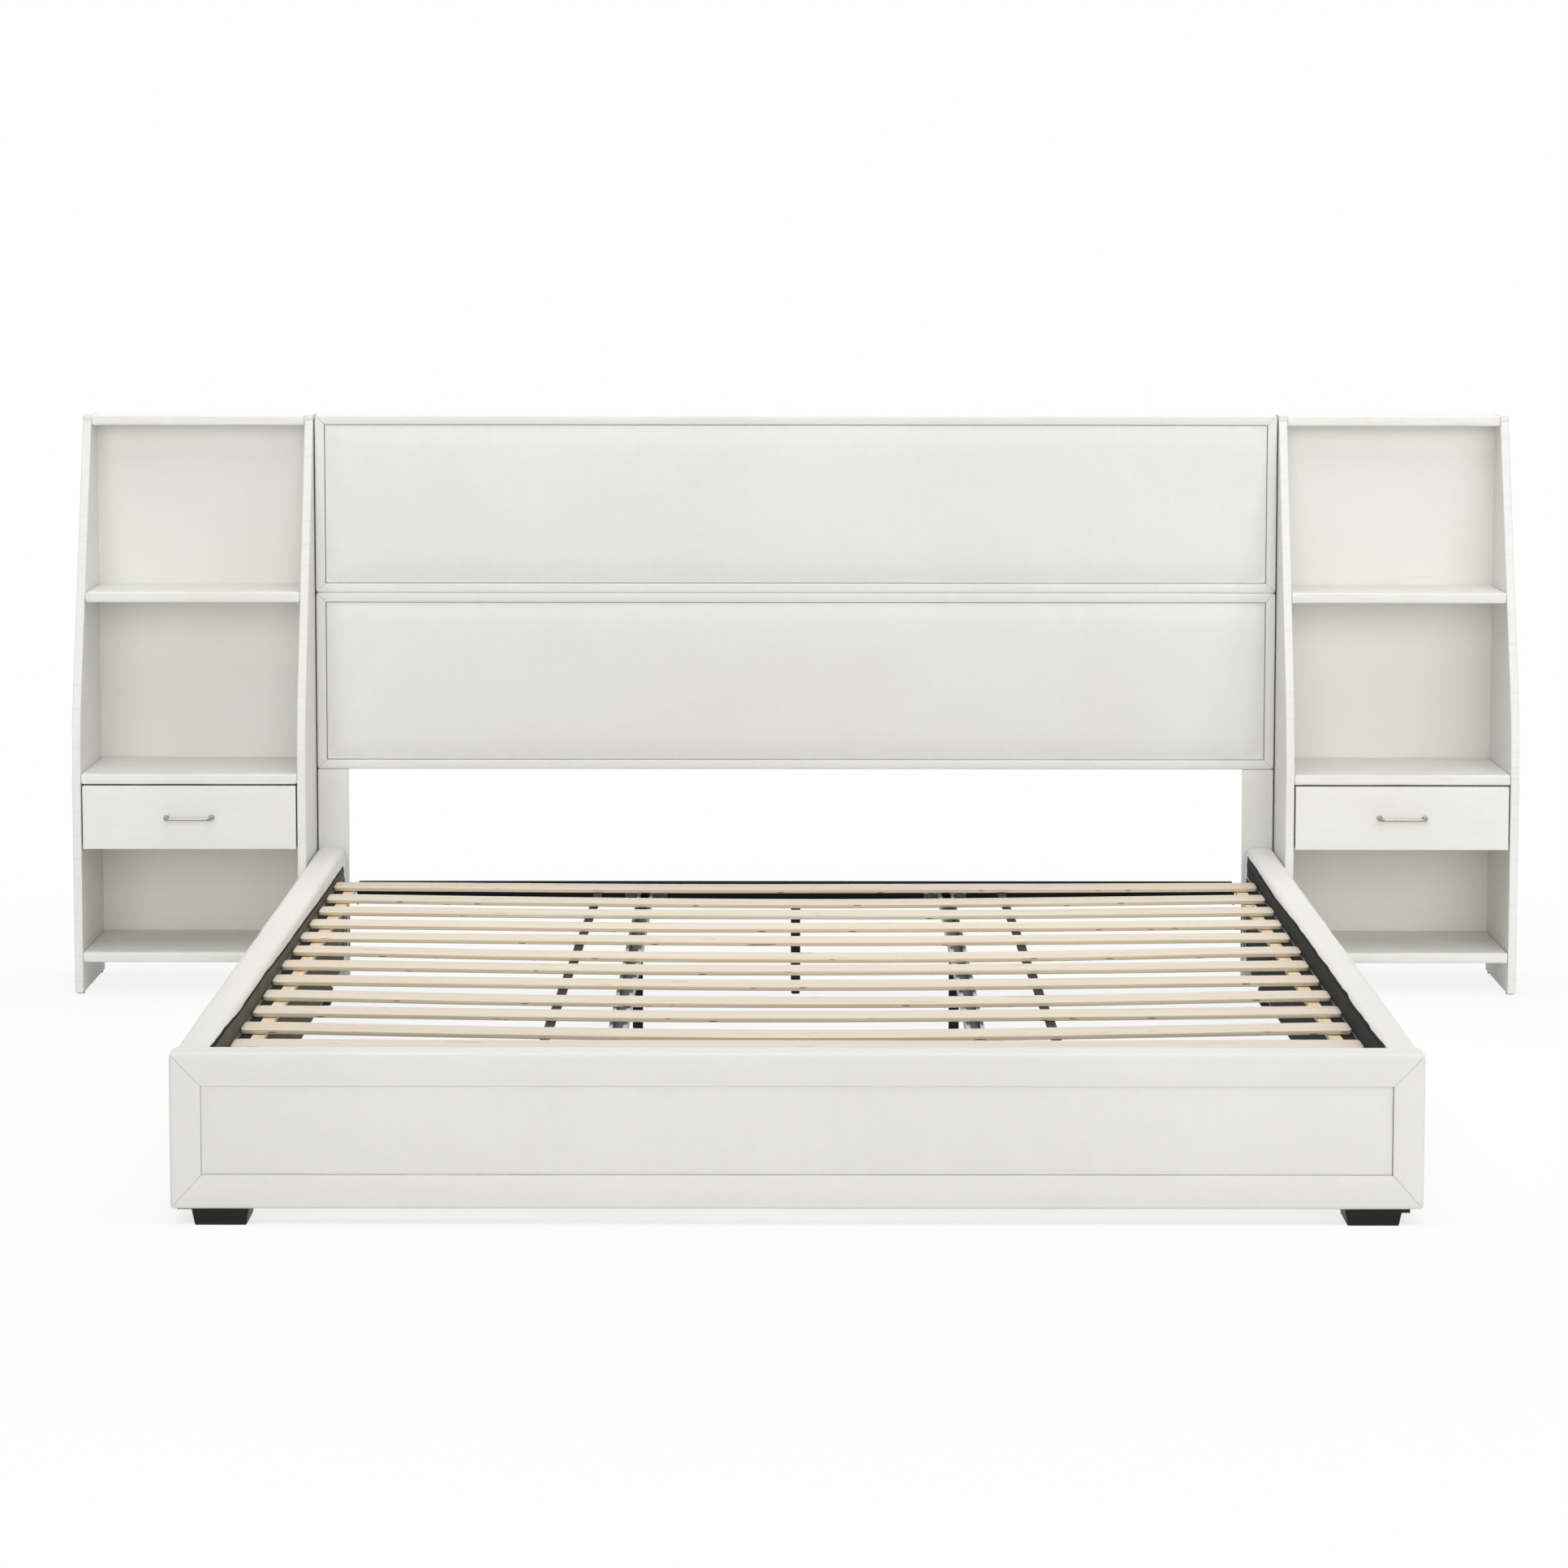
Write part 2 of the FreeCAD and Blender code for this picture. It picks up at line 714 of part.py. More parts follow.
def build_base():
    both_sides(rail_core, "side_rail_core")
    both_sides(rail_cover, "side_rail_cover")
    both_sides(rail_lining, "side_rail_lining")
    both_sides(slat_ledger, "slat_ledger")
    piece(front_core("front_rail_core"), "front_rail_core")
    piece(front_frame("front_rail_border"), "front_rail_border")
    piece(front_pad("front_rail_pad"), "front_rail_pad")
    piece(front_lining("front_rail_lining"), "front_rail_lining")
    corner = corner_bracket("corner_bracket")
    hook = head_bracket("head_bracket")
    grouped("rail_brackets", [corner, hook, twin_of(corner), twin_of(hook)])
    foot = base_foot("block_foot")
    grouped("front_feet", [foot, twin_of(foot)])
    middle = side_foot("rail_foot")
    grouped("side_feet", [middle, twin_of(middle)])


# Slats and steel supports

def slat_row(name):
    """The row of slats, each with its long edges eased."""
    body = new_body(name)
    outline = new_sketch(body, "YZ_Plane")
    add_clipped(outline, slat_width, slat_thick, slat_ease)
    slat = pad(body, outline, recess_width - 2 * slat_end_gap)
    repeat(body, [slat], "Y_Axis", slat_spacing, slat_count)
    last = slat_spacing * (slat_count - 1)
    place(body, -half_recess + slat_end_gap, head_face - slat_setback - slat_width - last, slat_under)
    return body


def slat_tape(name):
    """The webbing tape that keeps the slats apart, stapled to their undersides."""
    body = new_body(name)
    outline = new_sketch(body, "XY_Plane")
    run = slat_spacing * (slat_count - 1) + slat_width
    spread = tape_front_reach - tape_back_reach
    add_corners(outline, [(0, 0), (tape_width, 0), (tape_width + spread, run), (spread, run)])
    pad(body, outline, tape_thick)
    place(body, -tape_front_reach - tape_width / 2, head_face - slat_setback - run,
          slat_under - tape_thick)
    return body


def cross_bar(name):
    """The black angle across the head end, with a tab at each end for the ledger."""
    body = new_body(name)
    outline = new_sketch(body, "YZ_Plane")
    add_corners(outline, [(0, 0), (bar_foot, 0), (bar_foot, bar_height),
                          (bar_foot - bar_wall, bar_height), (bar_foot - bar_wall, bar_wall),
                          (0, bar_wall)])
    bar_run = recess_width - 2 * ledger_width
    pad(body, outline, bar_run)
    tabs = new_sketch(body, "XZ_Plane", -bar_foot)
    tab_height = ledger_top - bar_low
    add_rectangle(tabs, 0, 0, bar_wall, tab_height)
    add_rectangle(tabs, bar_run - bar_wall, 0, bar_run, tab_height)
    pad(body, tabs, bar_tab)
    holes = new_sketch(body, "XZ_Plane", bar_wall - bar_foot)
    for reach in (-channel_reach, channel_reach):
        for offset in (-ear_bolt, ear_bolt):
            add_circle(holes, bar_run / 2 + reach + offset, bar_wall + channel_height / 2, bolt_hole)
    pocket(body, holes, bar_wall)
    place(body, -half_recess + ledger_width, bar_face - bar_foot, bar_low)
    return body


def support_channel(name):
    """A lipped steel channel, open upward, with an ear plate at each end, bolted at the head end."""
    body = new_body(name)
    outline = new_sketch(body, "XZ_Plane")
    inner = channel_wall
    far = channel_width - channel_wall
    add_corners(outline, [(0, 0), (channel_width, 0), (channel_width, channel_height),
                          (channel_width - channel_lip, channel_height),
                          (channel_width - channel_lip, channel_height - channel_wall),
                          (far, channel_height - channel_wall), (far, channel_wall),
                          (inner, channel_wall), (inner, channel_height - channel_wall),
                          (channel_lip, channel_height - channel_wall),
                          (channel_lip, channel_height), (0, channel_height)])
    run = bar_face - bar_wall - recess_front
    pad(body, outline, run)
    middle = channel_width / 2
    for lift in (0, run - ear_thick):
        ears = new_sketch(body, "XZ_Plane", lift)
        add_rectangle(ears, -ear_side, 0, 0, channel_height)
        add_rectangle(ears, channel_width, 0, channel_width + ear_side, channel_height)
        if not isinstance(lift, Size):
            add_circle(ears, middle - ear_bolt, channel_height / 2, bolt_hole)
            add_circle(ears, middle + ear_bolt, channel_height / 2, bolt_hole)
        pad(body, ears, ear_thick)
    place(body, -channel_reach - channel_width / 2, bar_face - bar_wall, channel_under)
    return body


def prop_leg(name, x, y, top):
    """A square tube leg with a screwed plate at its head. It stands on its glide."""
    body = new_body(name)
    outline = new_sketch(body, "XY_Plane")
    for half in (prop_width / 2, prop_width / 2 - prop_wall):
        add_rectangle(outline, -half, -half, half, half)
    height = top - glide_height
    pad(body, outline, height)
    plate = new_sketch(body, "XY_Plane", height - prop_plate_thick)
    half = prop_plate / 2
    add_rectangle(plate, -half, -half, half, half)
    pad(body, plate, prop_plate_thick)
    place(body, x, y, glide_height)
    return body


def leg_glide(name, x, y):
    """A turned plastic glide under a support leg."""
    body = new_body(name)
    outline = new_sketch(body, "XY_Plane")
    add_circle(outline, 0, 0, glide_diameter / 2)
    pad(body, outline, glide_height)
    place(body, x, y, 0)
    return body


def hex_bolt(name, x, y, z):
    """A hexagon bolt. The underside of its head is at the given place and its shank points to +Y."""
    body = new_body(name)
    head = new_sketch(body, "XZ_Plane")
    flat = bolt_head / 2
    point = flat / math.cos(math.pi / 6)
    add_corners(head, [(point, 0), (point / 2, flat), (-point / 2, flat), (-point, 0),
                       (-point / 2, -flat), (point / 2, -flat)])
    pad(body, head, bolt_head_thick)
    shank = new_sketch(body, "XZ_Plane")
    add_circle(shank, 0, 0, bolt_shank / 2)
    pad(body, shank, bolt_length, back=True)
    place(body, x, y, z)
    return body


def build_supports():
    piece(slat_row("slats"), "slats")
    tape = slat_tape("tape")
    grouped("slat_tapes", [tape, twin_of(tape)])
    piece(cross_bar("head_cross_bar"), "head_cross_bar")
    both_sides(support_channel, "support_channel")
    bar_y = bar_face - bar_foot / 2
    places = [(-channel_reach, head_face - prop_back_setback, channel_under),
              (-channel_reach, head_face - prop_front_setback, channel_under)]
    legs = [prop_leg("prop_middle", 0, bar_y, bar_low)]
    glides = [leg_glide("glide_middle", 0, bar_y)]
    for k, (x, y, top) in enumerate(places):
        legs.append(prop_leg(f"prop_{k}", x, y, top))
        legs.append(twin_of(legs[-1]))
        glides.append(leg_glide(f"glide_{k}", x, y))
        glides.append(twin_of(glides[-1]))
    grouped("support_legs", legs)
    grouped("leg_glides", glides)


# Shelf stands

stand_depth = stand_reach + head_depth
stand_front = head_face - stand_reach
stand_left = -half_width - stand_gap - stand_width
bay_left = stand_left + side_thick
bay_width = stand_width - 2 * side_thick
side_height = head_top - pad_height
back_line = back_face - back_thick


def taper_at(level):
    """How far the tapered front edge has moved back at a level above the taper's foot."""
    return (level - taper_level) * stand_reach / (head_top - taper_level)


def stand_side(name, x):
    """A side board: upright front edge below, a long bend, then a straight taper to the top."""
    body = new_body(name)
    outline = new_sketch(body, "YZ_Plane")
    add_corners(outline, [(0, 0), (stand_depth, 0), (stand_depth, side_height),
                          (stand_reach, side_height), (0, taper_level - pad_height)])
    board = pad(body, outline, side_thick)
    bent = soften(body, board, taper_round,
                  lambda edge: lies(edge, y=0, z=taper_level - pad_height))
    edges = soften(body, bent, side_round, is_front_edge)
    body.Tip = edges
    place(body, x, stand_front, pad_height)
    return body


def is_front_edge(edge):
    """True for the edges of a side board's front strip, on either face of the board."""
    flat = lies(edge, x=0) or lies(edge, x=side_thick)
    rim = lies(edge, z=0) or lies(edge, z=side_height) or lies(edge, y=stand_depth)
    return flat and not rim


def stand_shelf(name, level, setback):
    """A shelf between the side boards, with a soft front edge. The level is its top."""
    body = new_body(name)
    outline = new_sketch(body, "YZ_Plane")
    depth = back_line - stand_front - setback
    add_rectangle(outline, 0, 0, depth, shelf_thick)
    board = pad(body, outline, bay_width)
    soften(body, board, shelf_round, lambda edge: lies(edge, y=0) and (
        lies(edge, z=0) or lies(edge, z=shelf_thick)))
    place(body, bay_left, stand_front + setback, level - shelf_thick)
    return body


def stand_back(name):
    body = new_body(name)
    outline = new_sketch(body, "XZ_Plane")
    low = bottom_level - shelf_thick
    add_rectangle(outline, 0, 0, bay_width, head_top - low)
    pad(body, outline, back_thick)
    place(body, bay_left, back_face, low)
    return body


def glide_pad(name, x, y):
    body = new_body(name)
    outline = new_sketch(body, "XY_Plane")
    add_circle(outline, 0, 0, pad_diameter / 2)
    pad(body, outline, pad_height)
    place(body, x, y, 0)
    return body


runner_level = drawer_shelf_level - shelf_thick - front_reveal - front_height + box_rise + box_height / 2
drawer_low = drawer_shelf_level - shelf_thick - front_reveal - front_height
box_width = bay_width - 2 * runner_width
box_left = bay_left + runner_width
box_back = stand_front + front_thick + box_depth


def runner(name):
    """The fixed member of a drawer runner: a channel with its lips turned toward the middle."""
    body = new_body(name)
    outline = new_sketch(body, "XZ_Plane")
    lip_x = runner_width - runner_play
    add_corners(outline, [(0, 0), (lip_x, 0), (lip_x, runner_lip),
                          (lip_x - runner_wall, runner_lip), (lip_x - runner_wall, runner_wall),
                          (runner_wall, runner_wall), (runner_wall, runner_height - runner_wall),
                          (lip_x - runner_wall, runner_height - runner_wall),
                          (lip_x - runner_wall, runner_height - runner_lip),
                          (lip_x, runner_height - runner_lip), (lip_x, runner_height),
                          (0, runner_height)])
    pad(body, outline, box_depth - front_thick)
    place(body, bay_left, box_back, runner_level - runner_height / 2)
    return body


def slide(name):
    """The moving member: a smaller channel on the drawer's side, riding between the lips."""
    body = new_body(name)
    outline = new_sketch(body, "XZ_Plane")
    tall = runner_height - 2 * runner_lip - 2 * runner_play
    deep = runner_width - runner_wall - 2 * runner_play
    add_corners(outline, [(0, 0), (deep, 0), (deep, tall), (0, tall), (0, tall - slide_wall),
                          (deep - slide_wall, tall - slide_wall), (deep - slide_wall, slide_wall),
                          (0, slide_wall)])
    pad(body, outline, box_depth - front_thick)
    place(body, box_left - deep, box_back, runner_level - tall / 2)
    return body


def other_wall(source, name):
    """The twin of a piece on the other wall of the same bay."""
    twin = doc.addObject("Part::Mirroring", name)
    twin.Source = source
    twin.Normal = Vector(1, 0, 0)
    twin.setExpression("Base.x", formula_of(bay_left + bay_width / 2))
    return twin


def drawer_front(name):
    body = new_body(name)
    outline = new_sketch(body, "XZ_Plane")
    add_rectangle(outline, 0, 0, bay_width - 2 * front_reveal, front_height)
    board = pad(body, outline, front_thick)
    soften(body, board, front_round, lambda edge: lies(edge, y=-front_thick))
    place(body, bay_left + front_reveal, stand_front + front_thick, drawer_low)
    return body


def drawer_box(name):
    """Two sides and a back around the open drawer, grooved for the bottom sheet."""
    body = new_body(name)
    outline = new_sketch(body, "XY_Plane")
    add_corners(outline, [(0, 0), (box_wall, 0), (box_wall, box_depth - box_wall),
                          (box_width - box_wall, box_depth - box_wall), (box_width - box_wall, 0),
                          (box_width, 0), (box_width, box_depth), (0, box_depth)])
    pad(body, outline, box_height)
    groove = new_sketch(body, "XY_Plane", box_floor * 3)
    half = box_wall / 2
    add_corners(groove, [(half, 0), (box_width - half, 0), (box_width - half, box_depth - half),
                         (half, box_depth - half)])
    pocket(body, groove, box_floor)
    place(body, box_left, stand_front + front_thick, drawer_low + box_rise)
    return body


def drawer_bottom(name):
    body = new_body(name)
    outline = new_sketch(body, "XY_Plane")
    half = box_wall / 2
    add_rectangle(outline, 0, 0, box_width - 2 * half, box_depth - half)
    pad(body, outline, box_floor)
    place(body, box_left + half, stand_front + front_thick, drawer_low + box_rise + box_floor * 2)
    return body


def drawer_handle(name):
    """A wire pull bent through two equal corners, with a flat boss at each foot."""
    body = new_body(name)
    path = new_sketch(body, "XY_Plane")
    span = wire_span / 2
    turn = span - wire_bend
    out = wire_reach - wire_bend
    s, b, r, t, o = [number_of(v) for v in (span, wire_reach, wire_bend, turn, out)]
    corner = math.pi / 2
    left = Part.Circle(Vector(-t, -o, 0), Vector(0, 0, 1), r)
    right = Part.Circle(Vector(t, -o, 0), Vector(0, 0, 1), r)
    for curve in (Part.LineSegment(Vector(-s, 0, 0), Vector(-s, -o, 0)),
                  Part.ArcOfCircle(left, 2 * corner, 3 * corner),
                  Part.LineSegment(Vector(-t, -b, 0), Vector(t, -b, 0)),
                  Part.ArcOfCircle(right, 3 * corner, 4 * corner),
                  Part.LineSegment(Vector(s, -o, 0), Vector(s, 0, 0))):
        path.addGeometry(curve, False)
    for k, end, next_end in ((0, 2, 1), (1, 2, 1), (2, 2, 1), (3, 2, 1)):
        path.addConstraint(Sketcher.Constraint("Tangent", k, end, k + 1, next_end))
    path.addConstraint(Sketcher.Constraint("Vertical", 0))
    path.addConstraint(Sketcher.Constraint("Horizontal", 2))
    path.addConstraint(Sketcher.Constraint("Vertical", 4))
    hold(path, "DistanceX", 0, 1, -span)
    hold(path, "DistanceY", 0, 1, 0)
    hold(path, "DistanceX", 4, 2, span)
    hold(path, "DistanceY", 4, 2, 0)
    hold(path, "DistanceY", 2, 1, -wire_reach)
    hold_radius(path, 1, wire_bend)
    hold_radius(path, 3, wire_bend)
    section = new_sketch(body, "XZ_Plane")
    add_circle(section, -span, 0, wire_diameter / 2)
    wire = body.newObject("PartDesign::AdditivePipe", name + "_wire")
    wire.Profile = section
    wire.Spine = path
    bosses = new_sketch(body, "XZ_Plane")
    add_circle(bosses, -span, 0, boss_diameter / 2)
    add_circle(bosses, span, 0, boss_diameter / 2)
    pad(body, bosses, boss_thick)
    place(body, bay_left + bay_width / 2, stand_front, drawer_low + front_height / 2)
    return body


def build_stands():
    inner_x = stand_left + stand_width - side_thick
    both_sides(lambda name: stand_side(name, stand_left), "stand_outer_side")
    both_sides(lambda name: stand_side(name, inner_x), "stand_inner_side")
    both_sides(stand_back, "stand_back")
    both_sides(lambda name: stand_shelf(name, head_top, taper_at(head_top - shelf_thick / 2)),
               "stand_top_board")
    both_sides(lambda name: stand_shelf(name, middle_level, taper_at(middle_level - shelf_thick / 2)),
               "stand_middle_shelf")
    both_sides(lambda name: stand_shelf(name, drawer_shelf_level, shelf_setback), "stand_drawer_shelf")
    both_sides(lambda name: stand_shelf(name, bottom_level, shelf_setback), "stand_bottom_shelf")

    pads = []
    for x in (stand_left + side_thick / 2, inner_x + side_thick / 2):
        for y in (stand_front + pad_inset, back_face - pad_inset):
            pads.append(glide_pad("glide_pad", x, y))
            pads.append(twin_of(pads[-1]))
    grouped("stand_glides", pads)

    for side, turn in (("left", None), ("right", twin_of)):
        fixed = runner("runner_" + side)
        moving = slide("slide_" + side)
        rows = [[fixed, other_wall(fixed, "far_runner_" + side)],
                [moving, other_wall(moving, "far_slide_" + side)]]
        if turn:
            rows = [[turn(member) for member in row] for row in rows]
        grouped("drawer_runners_" + side, rows[0])
        grouped("drawer_slides_" + side, rows[1])
    both_sides(drawer_front, "drawer_front")
    both_sides(drawer_box, "drawer_box")
    both_sides(drawer_bottom, "drawer_bottom")
    both_sides(drawer_handle, "drawer_handle")


def build_bolts():
    """The bolts that hold the channels' ears to the cross bar."""
    bolts = []
    for k, x in enumerate((-channel_reach - ear_bolt, -channel_reach + ear_bolt)):
        seat = bar_face - bar_wall - ear_thick
        bolts.append(hex_bolt(f"ear_bolt_{k}", x, seat, channel_under + channel_height / 2))
        bolts.append(twin_of(bolts[-1]))
    grouped("frame_bolts", bolts)


def export_pieces():
    doc.recompute()
    for thing in doc.Objects:
        if "Invalid" in thing.State or "Error" in thing.State:
            raise RuntimeError(f"{thing.Label}: {thing.State}")
    for thing in pieces:
        shape = thing.Shape
        if shape.isNull() or not shape.isValid() or not shape.Solids:
            raise RuntimeError(thing.Label + ": no valid solid")
        shape.exportStep(f"parts/{thing.Label}.step")
    print(len(pieces), "pieces written")


build_headboard()
build_base()
build_supports()
build_stands()
build_bolts()
export_pieces()
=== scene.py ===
"""Looks of the platform bed: upholstery, slat deck, steel supports, shelf stands, drawers and studio."""

import logging
import math
from dataclasses import dataclass, field
from enum import Enum
from typing import Callable, Iterable, Sequence, TypeVar

import bmesh
import bpy
import numpy as np
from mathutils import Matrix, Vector, noise


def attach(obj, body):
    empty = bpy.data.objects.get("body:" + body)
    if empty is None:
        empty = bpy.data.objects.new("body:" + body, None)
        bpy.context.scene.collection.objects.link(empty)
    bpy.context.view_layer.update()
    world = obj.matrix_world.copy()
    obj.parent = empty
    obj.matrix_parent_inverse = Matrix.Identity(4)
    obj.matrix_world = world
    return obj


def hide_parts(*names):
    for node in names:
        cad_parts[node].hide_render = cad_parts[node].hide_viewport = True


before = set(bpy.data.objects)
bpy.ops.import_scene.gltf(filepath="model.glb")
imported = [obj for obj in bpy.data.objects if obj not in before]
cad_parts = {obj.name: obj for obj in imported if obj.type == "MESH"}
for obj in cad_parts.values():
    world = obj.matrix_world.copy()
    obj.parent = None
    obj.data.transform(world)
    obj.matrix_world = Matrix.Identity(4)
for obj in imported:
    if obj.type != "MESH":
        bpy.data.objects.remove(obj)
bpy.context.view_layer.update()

LOG = logging.getLogger("platform_bed")
MM = 0.001
BED = "bed"
SLAT_FIRST = -927.6
SLAT_SPACING = 143.3
WHITE = (1.0, 1.0, 1.0, 1.0)
NOISE_SEED = 2
Colour = tuple[float, float, float, float]
Place = tuple[float, float, float]
Choice = TypeVar("Choice")


def tone(red: float, green: float, blue: float) -> Colour:
    """Turns a display colour into the linear colour a shader takes.

    Args:
        red: Red from 0 to 255.
        green: Green from 0 to 255.
        blue: Blue from 0 to 255.

    Returns:
        The linear colour with full alpha.
    """
    linear = [((c / 255 + 0.055) / 1.055) ** 2.4 if c > 10 else c / 3294.6 for c in (red, green, blue)]
    return (linear[0], linear[1], linear[2], 1.0)


class Slot(Enum):
    """Names of the material slots."""

    UPHOLSTERY = "ivory_upholstery"
    PAINT = "ivory_paint"
    VENEER = "pale_ply"
    LINING = "dark_lining"
    BLACK_STEEL = "black_steel"
    ZINC = "zinc_steel"
    PLASTIC = "black_plastic"
    NICKEL = "satin_nickel"


class Side(Enum):
    """The two sides of the bed, with the sign of X on each."""

    LEFT = -1
    RIGHT = 1

    def of(self, piece: str) -> str:
        """The name of this side's own one of a pair of pieces."""
        return piece + "_" + self.name.lower()

    def pick(self, left: Choice, right: Choice) -> Choice:
        """The one of two values that belongs to this side."""
        return left if self is Side.LEFT else right

    def span(self, near: float, far: float) -> tuple[float, float]:
        """Both ends along X of a stretch on this side, the lower one first.

        Args:
            near: Distance of the end that is nearer to the bed's middle.
            far: Distance of the other end.

        Returns:
            The two places along X.
        """
        ends = sorted((self.value * near, self.value * far))
        return ends[0], ends[1]


# Node trees

class Value:
    """One socket of a node tree, with arithmetic that adds Math nodes."""

    def __init__(self, tree: "Tree", socket: bpy.types.NodeSocket) -> None:
        """Wraps a socket."""
        self.tree = tree
        self.socket = socket

    def __add__(self, other: "Value | float") -> "Value":
        """Sum."""
        return self.tree.math("ADD", self, other)

    def __sub__(self, other: "Value | float") -> "Value":
        """Difference."""
        return self.tree.math("SUBTRACT", self, other)

    def __rsub__(self, other: "Value | float") -> "Value":
        """Reflected difference."""
        return self.tree.math("SUBTRACT", other, self)

    def __mul__(self, other: "Value | float") -> "Value":
        """Product."""
        return self.tree.math("MULTIPLY", self, other)

    def __truediv__(self, other: "Value | float") -> "Value":
        """Quotient."""
        return self.tree.math("DIVIDE", self, other)

    def __pow__(self, other: "Value | float") -> "Value":
        """Power."""
        return self.tree.math("POWER", self, other)

    __radd__ = __add__
    __rmul__ = __mul__

    def one(self, operation: str) -> "Value":
        """A Math operation on this value alone."""
        return self.tree.math(operation, self)

    def ramp(self, low: float, high: float) -> "Value":
        """Rises smoothly from 0 at low to 1 at high.

        Args:
            low: Value that gives 0.
            high: Value that gives 1.

        Returns:
            The eased value.
        """
        made = self.tree.node("ShaderNodeMapRange", {"interpolation_type": "SMOOTHSTEP"},
                              {0: self, 1: low, 2: high, 3: 0.0, 4: 1.0})
        return Value(self.tree, made.outputs[0])


class Tree:
    """A shader or geometry node tree, and the one way its nodes are made."""

    def __init__(self, tree: bpy.types.NodeTree) -> None:
        """Wraps a node tree."""
        self.tree = tree

    @classmethod
    def of(cls, owner: bpy.types.Material | bpy.types.World) -> "Tree":
        """Turns a material's or world's nodes on, clears them and wraps their tree.

        Args:
            owner: The material or world.

        Returns:
            The empty tree.
        """
        owner.use_nodes = True
        owner.node_tree.nodes.clear()
        return cls(owner.node_tree)

    def node(self, kind: str, settings: dict | None = None, inputs: dict | None = None) -> bpy.types.Node:
        """Adds a node.

        Args:
            kind: The node's type.
            settings: The node's properties, set before its sockets.
            inputs: Values, links or plain numbers by socket name or index.

        Returns:
            The new node.
        """
        made = self.tree.nodes.new(kind)
        for key, setting in (settings or {}).items():
            setattr(made, key, setting)
        for key, wanted in (inputs or {}).items():
            if isinstance(wanted, Value):
                self.tree.links.new(wanted.socket, made.inputs[key])
            elif isinstance(wanted, bpy.types.NodeSocket):
                self.tree.links.new(wanted, made.inputs[key])
            else:
                made.inputs[key].default_value = wanted
        return made

    def value(self, kind: str, settings: dict | None = None, inputs: dict | None = None,
              output: int | str = 0) -> Value:
        """Adds a node and wraps one of its outputs.

        Args:
            kind: The node's type.
            settings: The node's properties.
            inputs: Its socket values.
            output: Name or index of the output.

        Returns:
            The wrapped output.
        """
        return Value(self, self.node(kind, settings, inputs).outputs[output])

    def math(self, operation: str, *terms: Value | float) -> Value:
        """One Math node on one or two terms."""
        return self.value("ShaderNodeMath", {"operation": operation}, dict(enumerate(terms)))

    def mix(self, factor: Value | float, first: Value | Colour, second: Value | Colour) -> Value:
        """Mixes two colours.

        Args:
            factor: Share of the second colour.
            first: First colour.
            second: Second colour.

        Returns:
            The mixed colour.
        """
        return self.value("ShaderNodeMix", {"data_type": "RGBA"}, {0: factor, 6: first, 7: second}, 2)

    def apart(self, vector: Value) -> tuple[Value, Value, Value]:
        """The three parts of a vector."""
        made = self.node("ShaderNodeSeparateXYZ", None, {0: vector})
        return tuple(Value(self, socket) for socket in made.outputs)

    def vector(self, x: Value | float, y: Value | float, z: Value | float) -> Value:
        """A vector of three parts."""
        return self.value("ShaderNodeCombineXYZ", None, {0: x, 1: y, 2: z})

    def scaled(self, vector: Value, scale: Place, turn: Place = (0.0, 0.0, 0.0)) -> Value:
        """A vector stretched by scale and turned, through a Mapping node."""
        return self.value("ShaderNodeMapping", None, {"Vector": vector, "Scale": scale, "Rotation": turn})

    def clouds(self, vector: Value, scale: float, detail: float = 2.0, rough: float = 0.5,
               distortion: float = 0.0) -> Value:
        """Noise from 0 to 1 over a vector.

        Args:
            vector: Where the noise is read.
            scale: Noise scale.
            detail: Octaves.
            rough: Roughness of the octaves.
            distortion: How far the noise is warped.

        Returns:
            The noise value.
        """
        return self.value("ShaderNodeTexNoise", None, {
            "Vector": vector, "Scale": scale, "Detail": detail, "Roughness": rough, "Distortion": distortion})

    def cells(self, vector: Value, scale: float) -> Value:
        """Distance in a cell pattern over a vector."""
        return self.value("ShaderNodeTexVoronoi", None, {"Vector": vector, "Scale": scale})

    def spot(self) -> Value:
        """Place on the piece in its own metres."""
        return self.value("ShaderNodeTexCoord", None, None, "Object")

    def seam(self) -> Value:
        """The painted shading value that the piece's mesh carries: painted shade where positive, a painted
        highlight where negative.
        """
        return self.value("ShaderNodeAttribute", {"attribute_name": "seam"}, None, "Fac")

    def bump(self, height: Value, depth: float, strength: float = 1.0,
             under: Value | None = None) -> Value:
        """A bump of a height map.

        Args:
            height: Height from 0 to 1.
            depth: Depth in metres of a height of 1.
            strength: Share of the bump that is used.
            under: Normal of a bump below this one.

        Returns:
            The bumped normal.
        """
        inputs: dict = {"Height": height, "Distance": depth, "Strength": strength}
        if under is not None:
            inputs["Normal"] = under
        return self.value("ShaderNodeBump", None, inputs)


# Finishes

def look(colour: Value, rough: Value, normal: Value, gloss: float = 0.5, metal: float = 0.0) -> dict:
    """Inputs of the Principled shader.

    Args:
        colour: The colour.
        rough: The roughness.
        normal: The bumped normal.
        gloss: How strongly the plain surface mirrors.
        metal: 1 for bare metal, 0 for none.

    Returns:
        The inputs by socket name.
    """
    return {"Base Color": colour, "Metallic": metal, "Roughness": rough, "Normal": normal,
            "Specular IOR Level": gloss}


